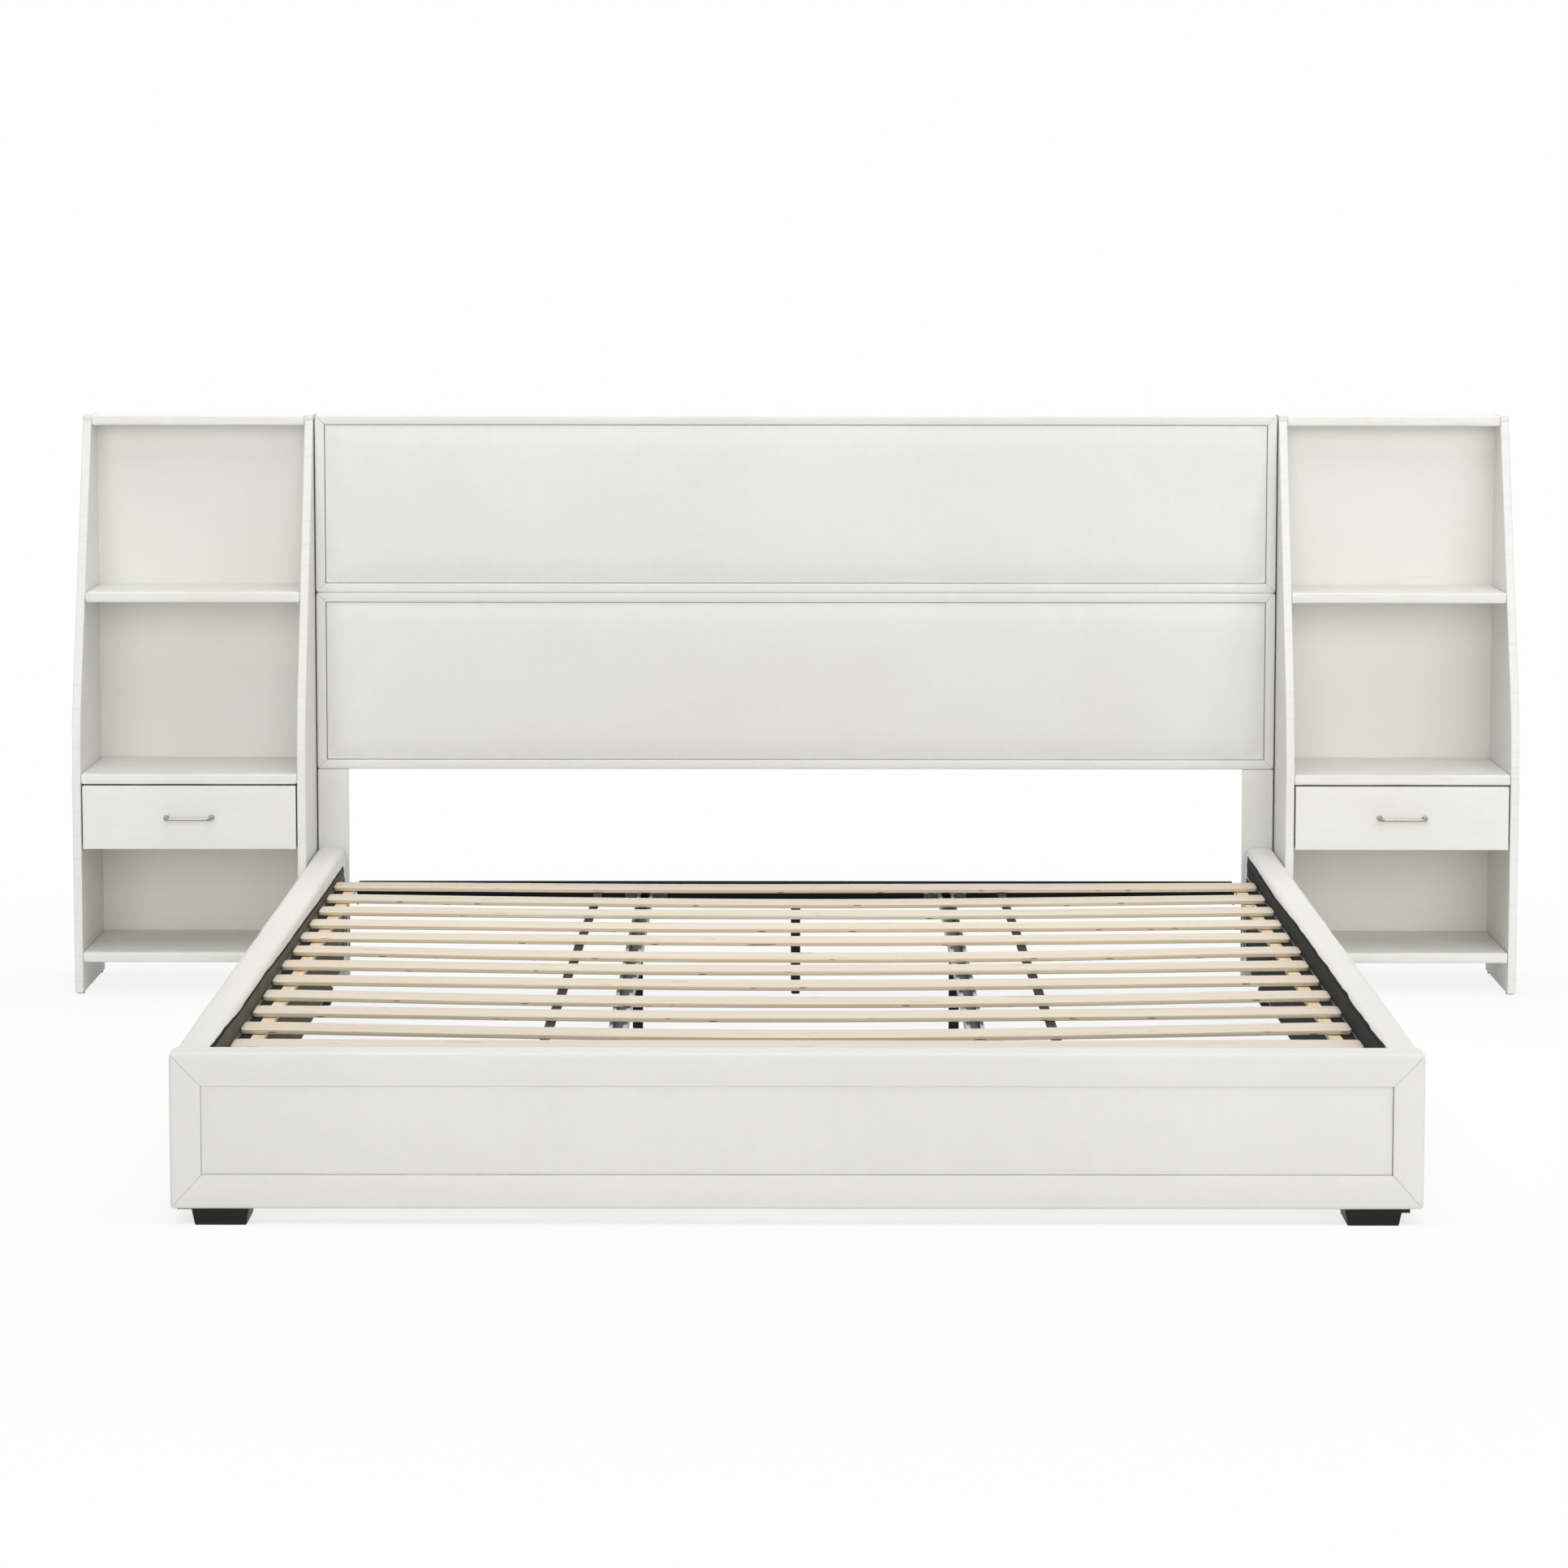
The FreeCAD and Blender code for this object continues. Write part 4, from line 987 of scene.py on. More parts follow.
@dataclass
class SoftBox:
    """A wrapped block with rounded edges, slow unevenness and tucked corners."""

    low: Place
    high: Place
    radius: float = 4.0
    spacing: float = 30.0
    wave: float = 0.3
    wave_length: float = 180.0
    tuck: float = 0.0
    tuck_reach: float = 14.0
    tuck_depth: float = 14.0
    tuck_size: float = 7.0
    tuck_front: bool = True
    seed: int = 1
    near_shares: tuple[float, ...] = (0.0, 0.2, 0.45, 0.72, 1.0)
    fold_lines: tuple[float, float, float] = (1.5, 26.0, 2.0)
    least_radii: float = 2.001

    def lines(self, axis: int) -> np.ndarray:
        """Grid lines along one axis, close together near both ends.

        Args:
            axis: 0 for X, 1 for Y, 2 for Z.

        Returns:
            The lines' places.
        """
        start, end = self.low[axis], self.high[axis]
        radius = min(self.radius, (end - start) / self.least_radii)
        near = np.array(self.near_shares) * radius
        if self.tuck and axis == 0:
            near = np.concatenate([near, radius + np.arange(*self.fold_lines)])
        room = end - start - 2 * near[-1]
        count = max(1, round(room / self.spacing))
        middle = np.linspace(start + near[-1], end - near[-1], count + 1)[1:-1]
        return np.unique(np.round(np.concatenate([start + near, middle, end - near]), 5))

    def build(self, name: str) -> bpy.types.Object:
        """Builds the block.

        Args:
            name: The piece's name.

        Returns:
            The object.
        """
        grid = [self.lines(axis) for axis in range(3)]
        last = [len(line) - 1 for line in grid]
        low, high = np.array(self.low), np.array(self.high)
        radius = min(self.radius, float((high - low).min()) / self.least_radii)
        shell, known = Shell(), {}

        def at(i: int, j: int, k: int) -> int:
            """Index of a grid point, rounded onto the block's skin."""
            if (i, j, k) in known:
                return known[i, j, k]
            point = np.array([grid[0][i], grid[1][j], grid[2][k]])
            inner = np.clip(point, low + radius, high - radius)
            away = point - inner
            size = np.linalg.norm(away)
            away = away / size if size else away
            point = inner + away * radius
            uneven = 0.5 * self.wave * swell_at(point[0] + point[2], self.wave_length, self.seed)
            point = point + away * uneven
            if self.tuck:
                edge = min(point[0] - low[0], high[0] - point[0])
                share = self.tuck * math.exp(-(edge / self.tuck_reach) ** 2)
                if self.tuck_front:
                    share *= math.exp(-max(0.0, point[1] - low[1]) / self.tuck_depth)
                push = crumple(point, self.tuck_size, self.seed)
                point = point + np.array([0.3 * push.x, -abs(push.y), push.z]) * share
            known[i, j, k] = shell.add(point)
            return known[i, j, k]

        for axis in range(3):
            u, v = (axis + 1) % 3, (axis + 2) % 3
            for end in (0, last[axis]):
                for a in range(last[u]):
                    for b in range(last[v]):
                        quad = []
                        for da, db in ((0, 0), (1, 0), (1, 1), (0, 1)):
                            place = [0, 0, 0]
                            place[axis], place[u], place[v] = end, a + da, b + db
                            quad.append(at(*place))
                        shell.faces.append(tuple(quad if end else quad[::-1]))
        return shell.object(name, 60.0)


def swept(name: str, outline: Callable[[float], np.ndarray], stations: Sequence[float],
          painted_shadings: Sequence[float] | None = None) -> bpy.types.Object:
    """Sweeps a closed outline along Y, its shape worked out anew at each station.

    Args:
        name: The piece's name.
        outline: Gives the outline's points, X and Z, at a place along Y.
        stations: Places along Y in millimetres.
        painted_shadings: Painted shading value of each point of the outline, or none.

    Returns:
        The object, closed at both ends.
    """
    shell, rings = Shell(), []
    for y in stations:
        points = outline(y)
        values = painted_shadings if painted_shadings is not None else [0.0] * len(points)
        rings.append([shell.add((x, y, z), value) for (x, z), value in zip(points, values)])
    shell.join(rings, False)
    return shell.object(name, 60.0)


def inflate(piece: bpy.types.Object, free: Iterable[int], pressure: float) -> None:
    """Blows a pad up as cloth held at its rim, and keeps the result.

    Args:
        piece: The pad.
        free: Points that may move.
        pressure: Cloth pressure.
    """
    scene = bpy.context.scene
    rest = np.array([vertex.co for vertex in piece.data.vertices])
    held = sorted(set(range(len(rest))) - set(free))
    group = piece.vertex_groups.new(name="held")
    group.add(held, 1.0, "REPLACE")
    cloth = piece.modifiers.new("Cloth", "CLOTH")
    made = cloth.settings
    made.vertex_group_mass = "held"
    made.quality = 3
    made.mass = 0.3
    made.tension_stiffness = made.compression_stiffness = 12
    made.shear_stiffness = 4
    made.bending_stiffness = 0.4
    made.shrink_min = -0.0025
    made.use_pressure = True
    made.uniform_pressure_force = pressure
    made.effector_weights.gravity = 0
    cloth.collision_settings.use_collision = False
    cloth.point_cache.frame_start, cloth.point_cache.frame_end = 1, CLOTH_FRAMES
    for number in range(1, CLOTH_FRAMES + 1):
        scene.frame_set(number)
    solved = piece.evaluated_get(bpy.context.evaluated_depsgraph_get()).to_mesh()
    moved = np.array([vertex.co for vertex in solved.vertices]) - rest
    piece.modifiers.remove(cloth)
    piece.vertex_groups.remove(group)
    scene.frame_set(1)
    size = np.linalg.norm(moved, axis=1, keepdims=True)
    moved *= np.minimum(1.0, CLOTH_LIMIT / np.maximum(size, 1e-9))
    piece.data.vertices.foreach_set("co", (rest + moved).ravel())
    piece.data.update()
    LOG.info("%s inflated, largest move %.1f mm", piece.name, min(float(size.max()), CLOTH_LIMIT) / MM)


def wear(piece: bpy.types.Object, finish: Finish) -> None:
    """Gives a piece one material in place of those that it has."""
    piece.data.materials.clear()
    piece.data.materials.append(finish.make())


def settle(piece: bpy.types.Object, finish: Finish, slot: Slot, *replaces: str,
           body: str = BED) -> bpy.types.Object:
    """Dresses a finished piece and ties it to the frame.

    Args:
        piece: The finished piece.
        finish: What it wears.
        slot: Not used.
        replaces: CAD nodes it stands for.
        body: The body it rides on.

    Returns:
        The piece.
    """
    wear(piece, finish)
    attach(piece, body)
    if replaces:
        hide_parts(*replaces)
    LOG.info("%s rides on %s, %d faces", piece.name, body, len(piece.data.polygons))
    return piece


def dress(finish: Finish, *nodes: str) -> None:
    """Gives CAD nodes a better material."""
    for node in nodes:
        wear(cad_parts[node], finish)


# Geometry node trees

class GeometryTree(Tree):
    """A geometry node tree with named inputs, run once on an object and turned into a plain mesh."""

    def __init__(self, name: str, sizes: dict[str, tuple[str, object]]) -> None:
        """Makes the tree.

        Args:
            name: The tree's name.
            sizes: Each input's socket type and value by its name.
        """
        made = bpy.data.node_groups.new(name, "GeometryNodeTree")
        super().__init__(made)
        made.interface.new_socket("Geometry", in_out="INPUT", socket_type="NodeSocketGeometry")
        self.settings = {}
        for label, (kind, value) in sizes.items():
            socket = made.interface.new_socket(label, in_out="INPUT", socket_type=kind)
            self.settings[socket.identifier] = value
        made.interface.new_socket("Geometry", in_out="OUTPUT", socket_type="NodeSocketGeometry")
        self.entry = made.nodes.new("NodeGroupInput")

    def size(self, label: str) -> Value:
        """A named input of the tree."""
        return Value(self, self.entry.outputs[label])

    def finish(self, shape: Value) -> None:
        """Ends the tree: realises the instances and sets the material.

        Args:
            shape: The geometry that the tree has made.
        """
        real = self.value("GeometryNodeRealizeInstances", None, {0: shape})
        dressed = self.value("GeometryNodeSetMaterial", None, {
            "Geometry": real, "Material": self.size("Finish")})
        self.node("NodeGroupOutput", None, {0: dressed})

    def run(self, name: str, seeds: bpy.types.Mesh, sharp: float) -> bpy.types.Object:
        """Runs the tree and returns a plain mesh object.

        Args:
            name: The piece's name.
            seeds: Mesh whose points the tree reads.
            sharp: Edges steeper than this many degrees stay sharp.

        Returns:
            The object.
        """
        piece = placed(name, seeds)
        modifier = piece.modifiers.new("Make", "NODES")
        modifier.node_group = self.tree
        for identifier, value in self.settings.items():
            modifier[identifier] = value
        graph = bpy.context.evaluated_depsgraph_get()
        mesh = bpy.data.meshes.new_from_object(piece.evaluated_get(graph), depsgraph=graph)
        piece.modifiers.remove(modifier)
        piece.data = mesh
        mesh.name = name
        mesh.polygons.foreach_set("use_smooth", [True] * len(mesh.polygons))
        mesh.set_sharp_from_angle(angle=math.radians(sharp))
        return piece


@dataclass
class Fasteners:
    """Domed heads with a socket on the back of the bed, each with its own turn."""

    name: str
    depth: float
    radius: float
    height: float
    dome: float = 0.35
    top: float = 0.55
    socket_radius: float = 0.3
    socket_depth: float = 0.08
    sides: int = 12
    socket_sides: int = 6
    turn: float = 3.1
    seed: int = 4
    facing: Place = (0.0, 1.0, 0.0)
    spots: list = field(default_factory=list)

    def add(self, side: Side, across: float, height: float) -> None:
        """Adds one head, its place in millimetres."""
        self.spots.append((side.value * across, self.depth, height))

    def build(self, finish: Finish) -> bpy.types.Object:
        """Runs the tree over the spots.

        Args:
            finish: What the heads wear.

        Returns:
            The object with all heads.
        """
        seeds = bpy.data.meshes.new(self.name + "_spots")
        seeds.from_pydata([[part * MM for part in spot] for spot in self.spots], [], [])
        facing = seeds.attributes.new("facing", "FLOAT_VECTOR", "POINT")
        facing.data.foreach_set("vector", self.facing * len(self.spots))
        tree = GeometryTree(self.name + "_tree", {
            "Radius": ("NodeSocketFloat", self.radius * MM),
            "Height": ("NodeSocketFloat", self.height * MM),
            "Sides": ("NodeSocketInt", self.sides),
            "Seed": ("NodeSocketInt", self.seed),
            "Finish": ("NodeSocketMaterial", finish.make()),
        })
        radius, height, filled = tree.size("Radius"), tree.size("Height"), {"fill_type": "NGON"}
        body = tree.value("GeometryNodeMeshCylinder", filled, {
            "Vertices": tree.size("Sides"), "Radius": radius, "Depth": height})
        cap = tree.value("GeometryNodeMeshCone", filled, {
            "Vertices": tree.size("Sides"), "Radius Top": radius * self.top, "Radius Bottom": radius,
            "Depth": radius * self.dome})
        socket = tree.value("GeometryNodeMeshCylinder", filled, {
            "Vertices": self.socket_sides, "Radius": radius * self.socket_radius,
            "Depth": radius * self.socket_depth})
        parts = [body]
        for part, lift in ((cap, height * 0.5), (socket, height * 0.5 + radius * self.dome)):
            parts.append(tree.value("GeometryNodeTransform", None, {
                "Geometry": part, "Translation": tree.vector(0.0, 0.0, lift)}))
        head = tree.node("GeometryNodeJoinGeometry")
        for part in parts:
            tree.tree.links.new(part.socket, head.inputs[0])
        way = tree.value("GeometryNodeInputNamedAttribute", {"data_type": "FLOAT_VECTOR"}, {"Name": "facing"})
        turned = tree.value("FunctionNodeAlignRotationToVector", {"axis": "Z"}, {"Vector": way})
        spin = tree.value("FunctionNodeRandomValue", {"data_type": "FLOAT"},
                          {2: 0.0, 3: self.turn, "Seed": tree.size("Seed")}, 1)
        about = tree.value("FunctionNodeAxisAngleToRotation", None, {"Axis": (0.0, 0.0, 1.0), "Angle": spin})
        spun = tree.value("FunctionNodeRotateRotation", {"rotation_space": "LOCAL"}, {0: turned, 1: about})
        points = tree.value("GeometryNodeMeshToPoints", None, {"Mesh": tree.entry.outputs[0]})
        tree.finish(tree.value("GeometryNodeInstanceOnPoints", None, {
            "Points": points, "Instance": head.outputs[0], "Rotation": spun}))
        return tree.run(self.name, seeds, 40.0)


@dataclass
class SlatDeck:
    """The pale slats, their ledgers and the tapes under them."""

    spacing: float = SLAT_SPACING
    length: float = 1937.0
    width: float = 68.0
    thick: float = 8.0
    first: float = SLAT_FIRST
    under: float = 232.0
    edge_round: float = 1.7
    corner_round: float = 8.0
    stations: int = 72
    crowding: float = 2.4
    shift: Place = (0.0022, 0.0012, 0.0006)
    turn: float = 0.0011
    ripple: float = 0.0005
    rest: float = 925.5
    sag_power: float = 1.25
    sags: tuple[float, ...] = (9.0, 2.0, 13.0, 9.0, 12.5, 9.0, 9.0, 13.0, 7.0, 7.0, 7.0, 9.0, 3.5)
    tape_reach: tuple[tuple[float, float], ...] = ((444.0, 413.0), (457.0, 431.0))
    tape_width: float = 18.0
    tape_thick: float = 0.9
    tape_gap: float = 0.3
    tape_inset: float = 0.2
    seed: int = 11

    def tree(self) -> GeometryTree:
        """Builds the slat tree.

        Returns:
            The tree, with the sizes as its named inputs.
        """
        lengths = {"Spacing": self.spacing, "Length": self.length, "Width": self.width,
                   "Thickness": self.thick, "First": self.first, "Edge Round": self.edge_round,
                   "Corner Round": self.corner_round, "Rest": self.rest}
        sizes = {label: ("NodeSocketFloat", length * MM) for label, length in lengths.items()}
        sizes["Seed"] = ("NodeSocketInt", self.seed)
        sizes["Finish"] = ("NodeSocketMaterial", VENEER.make())
        tree = GeometryTree("slat_tree", sizes)
        length, width = tree.size("Length"), tree.size("Width")
        corner, seed = tree.size("Corner Round"), tree.size("Seed")
        path = tree.value("GeometryNodeMeshLine", {"mode": "END_POINTS"}, {
            "Count": self.stations, 2: tree.vector(-1.0, 0.0, 0.0), 3: tree.vector(1.0, 0.0, 0.0)})
        run = tree.value("GeometryNodeMeshToCurve", None, {0: path})
        outline = tree.value("GeometryNodeCurvePrimitiveQuadrilateral", None, {
            0: width, 1: tree.size("Thickness")})
        rounded = tree.value("GeometryNodeFilletCurve", {"mode": "POLY"}, {
            "Curve": outline, "Count": 3, "Radius": tree.size("Edge Round")})
        bar = tree.value("GeometryNodeCurveToMesh", None, {
            "Curve": run, "Profile Curve": rounded, "Fill Caps": True})
        x, y, z = tree.apart(tree.value("GeometryNodeInputPosition"))
        share = 1.0 - (1.0 - x.one("ABSOLUTE")) ** self.crowding
        reach = share * length * 0.5
        past = tree.math("MAXIMUM", reach - (length * 0.5 - corner), 0.0)
        slim = corner - tree.math("MAXIMUM", corner * corner - past * past, 0.0).one("SQRT")
        half = width * 0.5
        placed = tree.vector(x.one("SIGN") * reach, y * ((half - slim) / half), z)
        bar = tree.value("GeometryNodeSetPosition", None, {"Geometry": bar, "Position": placed})
        row = tree.value("GeometryNodeMeshToPoints", None, {"Mesh": tree.entry.outputs[0]})
        shift = tree.value("FunctionNodeRandomValue", {"data_type": "FLOAT_VECTOR"}, {
            0: (-self.shift[0], -self.shift[1], 0.0), 1: self.shift, "Seed": seed})
        row = tree.value("GeometryNodeSetPosition", None, {"Geometry": row, "Offset": shift})
        turn = tree.value("FunctionNodeRandomValue", {"data_type": "FLOAT"},
                          {2: -self.turn, 3: self.turn, "Seed": seed}, 1)
        slats = tree.value("GeometryNodeInstanceOnPoints", None, {
            "Points": row, "Instance": bar, "Rotation": tree.vector(0.0, 0.0, turn)})
        real = tree.value("GeometryNodeRealizeInstances", None, {0: slats})
        x, y, z = tree.apart(tree.value("GeometryNodeInputPosition"))
        number = ((y - tree.size("First")) / tree.size("Spacing")).one("ROUND")
        sag = tree.value("GeometryNodeInputNamedAttribute", {"data_type": "FLOAT"}, {"Name": "sag"})
        hung = tree.math("MAXIMUM", 1.0 - (x / tree.size("Rest")) ** 2.0, 0.0) ** self.sag_power
        wave = (x * 5.3 + number * 2.1).one("SINE") * self.ripple * hung
        bent = tree.value("GeometryNodeSetPosition", None, {
            "Geometry": real, "Offset": tree.vector(0.0, 0.0, wave - sag * hung)})
        tree.finish(bent)
        return tree

    def build(self) -> None:
        """Makes the slats and dresses the ledgers and tapes."""
        middles = [self.first + number * self.spacing for number in range(len(self.sags))]
        level = self.under + self.thick / 2
        seeds = bpy.data.meshes.new("slat_places")
        seeds.from_pydata([[0.0, y * MM, level * MM] for y in middles], [], [])
        sag = seeds.attributes.new("sag", "FLOAT", "POINT")
        sag.data.foreach_set("value", [depth * MM for depth in self.sags])
        settle(self.tree().run("slat_row", seeds, 35.0), VENEER, Slot.VENEER, "slats")
        for side in Side:
            dress(PINE, side.of("slat_ledger"))
            tape = settle(self.tape(side, middles).object(side.of("slat_tape"), 30.0), WEBBING, Slot.LINING,
                          "slat_tapes")

    def tape(self, side: Side, middles: Sequence[float]) -> Shell:
        """The webbing under one side of the slats, stapled to each of them.

        Args:
            side: Which tape.
            middles: Where the slats' middles are along the bed.

        Returns:
            The tape's points and faces.
        """
        shell, rings = Shell(), []
        half = self.width / 2
        first, last = middles[0] - half, middles[-1] + half
        front_reach, back_reach = side.pick(*self.tape_reach)
        for number, middle in enumerate(middles):
            for y in (middle - half + self.tape_inset, middle, middle + half - self.tape_inset):
                x = front_reach + (back_reach - front_reach) * (y - first) / (last - first)
                ring = []
                for across, deep in ((-0.5, 0.0), (0.5, 0.0), (0.5, 1.0), (-0.5, 1.0)):
                    out = x + across * self.tape_width
                    hung = max(0.0, 1.0 - (out / self.rest) ** 2) ** self.sag_power
                    z = self.under - self.tape_gap - deep * self.tape_thick - self.sags[number] * hung
                    ring.append(shell.add((out * side.value, y, z)))
                rings.append(ring)
        shell.join(rings, False)
        return shell


@dataclass
class HeadboardUpholstery:
    """Two stacked panels: a mitred border round a crowned pad, and the wrapped legs."""

    half: float = 1030.5
    levels: tuple[float, ...] = (454.0, 836.0)
    height: float = 382.0
    border: float = 20.0
    front: float = 1016.0
    back: float = 1040.0
    leg_back: float = 1090.0
    leg_inner: float = 963.5
    leg_taper: float = 8.0
    bracket_top: float = 190.0
    bracket_room: float = 3.4
    skin: float = -0.35
    joint: float = 0.3
    gap: float = 0.5
    pad_depth: float = 3.4
    corner_steps: tuple[float, ...] = (0.0, 0.6, 1.3, 2.2, 4.0, 8.0, 13.0, 20.0)

    def profile(self) -> list:
        """Outline of the border: inset from the edge, and depth.

        Returns:
            The points in order.
        """
        front, back, border, skin = self.front, self.back, self.border, self.skin
        heel = arc((skin + 3.0, self.leg_back - 3.4), 3.0, 90.0, 180.0, 4)
        outer = arc((3.0, front + 3.3), 3.3, 180.0, 270.0, 6)
        inner = arc((border - 2.2, front + 2.4), 2.2, 270.0, 360.0, 5)
        return (heel + [(skin, back), (skin, front + 12.0)] + outer
                + [(8.0, front - 0.3), (12.0, front - 0.2)] + inner
                + [(border + 0.1, front + 7.0), (border, back), (border, self.leg_back - 0.4)])

    def build(self) -> None:
        """Makes both levels and the legs, and dresses what lies behind them."""
        for low, name, seed in zip(self.levels, ("lower", "upper"), (3, 8)):
            high = low + self.height
            ring = MitredRing(-self.half, self.half, low + self.joint, high - self.joint, self.profile(),
                              (1.0, self.border - 0.6), self.border, wave=0.35, wave_length=410.0, seed=seed,
                              near=self.corner_steps)
            border = settle(ring.build("headboard_border_wrap_" + name), HEAD_LEATHER, Slot.UPHOLSTERY,
                            "headboard_border_" + name)
            pad = CrownedPad(-self.half + self.border + self.gap, self.half - self.border - self.gap,
                             low + self.border + self.gap, high - self.border - self.gap,
                             self.front + self.pad_depth, self.back,
                             roll=2.6, drop=5.0, crown=3.2, reach=26.0, seed=seed)
            shape, free = pad.build("headboard_pad_wrap_" + name)
            inflate(shape, free, 0.6)
            cover = settle(shape, HEAD_LEATHER, Slot.UPHOLSTERY, "headboard_pad_" + name)
            dress(HEAD_LEATHER, "headboard_core_" + name)
        for side in Side:
            self.leg(side)
        dress(LINING, "headboard_backing")
        dress(BLACK_STEEL, "back_plates")

    def leg(self, side: Side) -> None:
        """Makes one leg's cover, pulled in toward the back and clear of the rail's bracket.

        Args:
            side: Which leg.
        """
        ends = side.span(self.leg_inner, self.half)
        block = SoftBox((ends[0], self.front, 0.0), (ends[1], self.leg_back, self.levels[0] - 0.4),
                        radius=3.0, spacing=26.0, wave=0.4, seed=5 + side.value)
        leg = block.build(side.of("headboard_leg_wrap"))
        for vertex in leg.data.vertices:
            if abs(vertex.co.x) < (self.leg_inner + 6.0) * MM:
                share = (vertex.co.y / MM - self.front) / (self.leg_back - self.front)
                vertex.co.x += side.value * self.leg_taper * MM * share
                if share < 0.08 and vertex.co.z < self.bracket_top * MM:
                    vertex.co.y -= self.bracket_room * MM
        settle(leg, HEAD_LEATHER, Slot.UPHOLSTERY, side.of("headboard_leg"))


@dataclass
class BaseUpholstery:
    """The padded front rail, the side rails' covers and the lining inside them."""

    half: float = 1030.5
    recess: float = 972.5
    front: float = -1092.0
    recess_front: float = -1034.0
    head_end: float = 1013.0
    low: float = 28.5
    high: float = 285.0
    border: float = 51.5
    low_border: float = 57.0
    crest: float = 2.5
    ledger_top: float = 231.0
    flange: float = 25.5
    roll: float = 14.0
    front_end: float = 6.0
    back_end: float = 14.0
    slack: float = 0.55
    slack_length: float = 420.0
    sunk: float = 2.2
    sunk_reach: float = 70.0
    sunk_levels: tuple[float, float] = (200.0, 270.0)
    seam_room: float = 4.0
    # Painted shade on the panel's left edge above the first value is cut to the second there, as that edge
    # faces the light.
    seam_shade_dark: float = 0.6
    seam_shade_lit: float = 0.1
    panel_gap: float = 0.1
    panel_right_gap: float = 0.7
    panel_depth: float = 5.4
    panel_back: float = 27.0
    side_levels: tuple[float, ...] = (244.0, 208.0, 172.0, 135.0, 98.0, 62.0)
    hem_drop: float = 18.0
    hem_wave: float = 0.9
    hem_length: float = 230.0
    hem_places: tuple[float, ...] = (-919.0, -841.0, -637.0, -307.0, -69.0, 184.0, 454.0, 744.0)
    hem_rise: tuple[tuple[float, ...], ...] = ((8.7, 7.9, 1.8, 0.8, -6.5, -8.9, -13.7, -17.8),
                                               (10.9, 10.0, 9.6, 9.9, 8.0, 7.4, 0.8, 3.2))
    ledger_end: float = 858.0
    thick: float = 0.9
    hang_run: float = 9.0
    fall: float = 30.0
    pleat: float = 3.2
    pleat_step: float = 8.0
    pleat_middle: float = 120.0
    pleat_reach: float = 80.0
    cloth_wave: float = 0.7
    cloth_length: float = 120.0
    edge_wave: float = 1.5
    edge_length: float = 95.0
    low_hem: float = 34.0
    low_levels: tuple[float, ...] = (222.0, 172.0, 125.0, 78.0)
    # Painted shading of the lining's outline points: 1 for painted shade at the hem and on the flange, -1 for
    # a painted highlight on the fold.
    lining_shading: tuple[float, ...] = (1.0, 1.0, 1.0, 0.0, 0.0, 0.0, 0.0, 0.0, -1.0, 0.0, 1.0, 1.0, 1.0)
    front_steps: tuple[float, ...] = (0.05, 0.5, 1.4, 2.8, 4.4, 6.0, 12.0)
    back_steps: tuple[float, ...] = (14.0, 11.0, 8.0, 5.4, 3.2, 1.5, 0.5, 0.05)
    end_wrap: tuple[float, float] = (44.0, 38.0)

    def front_profile(self) -> list:
        """Outline of the front rail's wrap: inset from the edge, and depth.

        Returns:
            The points in order.
        """
        front, back = self.front, self.recess_front
        outer = arc((7.0, front + 7.0), 7.0, 180.0, 270.0, 8)
        inner = arc((self.border - 1.5, front + 1.8), 1.5, 270.0, 360.0, 6)
        roll = arc((4.0, back - 4.0), 4.0, 90.0, 180.0, 5)
        return (roll + [(-0.3, back - 18.0), (-0.2, front + 22.0)] + outer
                + [(16.0, front - 0.6), (27.0, front - 1.0), (39.0, front - 0.7)] + inner
                + [(self.border + 0.3, front + 11.0), (self.border, back - 3.0)]
                + [(24.0, back - 3.0), (22.0, back)])

    def pale_seam(self, shape: bpy.types.Object) -> None:
        """Cuts the painted shade on the panel's left edge almost away, as that edge faces the light and stays
        as pale as the cover.

        Args:
            shape: The front rail's border or panel.
        """
        limit = (self.border - self.half + self.seam_room) * MM
        seam = shape.data.attributes["seam"].data
        for vertex in shape.data.vertices:
            if vertex.co.x < limit and seam[vertex.index].value > self.seam_shade_dark:
                seam[vertex.index].value = self.seam_shade_lit

    def front_rail(self) -> None:
        """Makes the front rail's mitred wrap and its inset panel."""
        ring = MitredRing(-self.half, self.half, self.low, self.high, self.front_profile(),
                          (2.0, self.border - 1.0), self.border, spacing=20.0, wave=0.9, wave_length=360.0,
                          seed=2)
        shape = ring.build("front_rail_wrap")
        near, far = self.low + self.border, self.high - self.border - 10.0
        drawn = (self.low, near, far, self.high)
        wanted = (self.low, self.low + self.low_border, far, self.high + self.crest)
        for vertex in shape.data.vertices:
            vertex.co.z = MM * float(np.interp(vertex.co.z / MM, drawn, wanted))
        self.pale_seam(shape)
        wrap = settle(shape, LEATHER, Slot.UPHOLSTERY, "front_rail_border")
        gap = self.panel_gap
        pad = CrownedPad(-self.half + self.border + gap, self.half - self.border - self.panel_right_gap,
                         self.low + self.low_border + gap, self.high - self.border - gap,
                         self.front + self.panel_depth, self.recess_front - self.panel_back,
                         roll=1.1, drop=1.1, crown=1.8, reach=18.0, seed=6, wave=0.6)
        shape, free = pad.build("front_rail_panel")
        self.pale_seam(shape)
        inflate(shape, free, 0.5)
        panel = settle(shape, LEATHER, Slot.UPHOLSTERY, "front_rail_pad")
        dress(CORE, "front_rail_core")
        dress(LINING, "front_rail_lining")

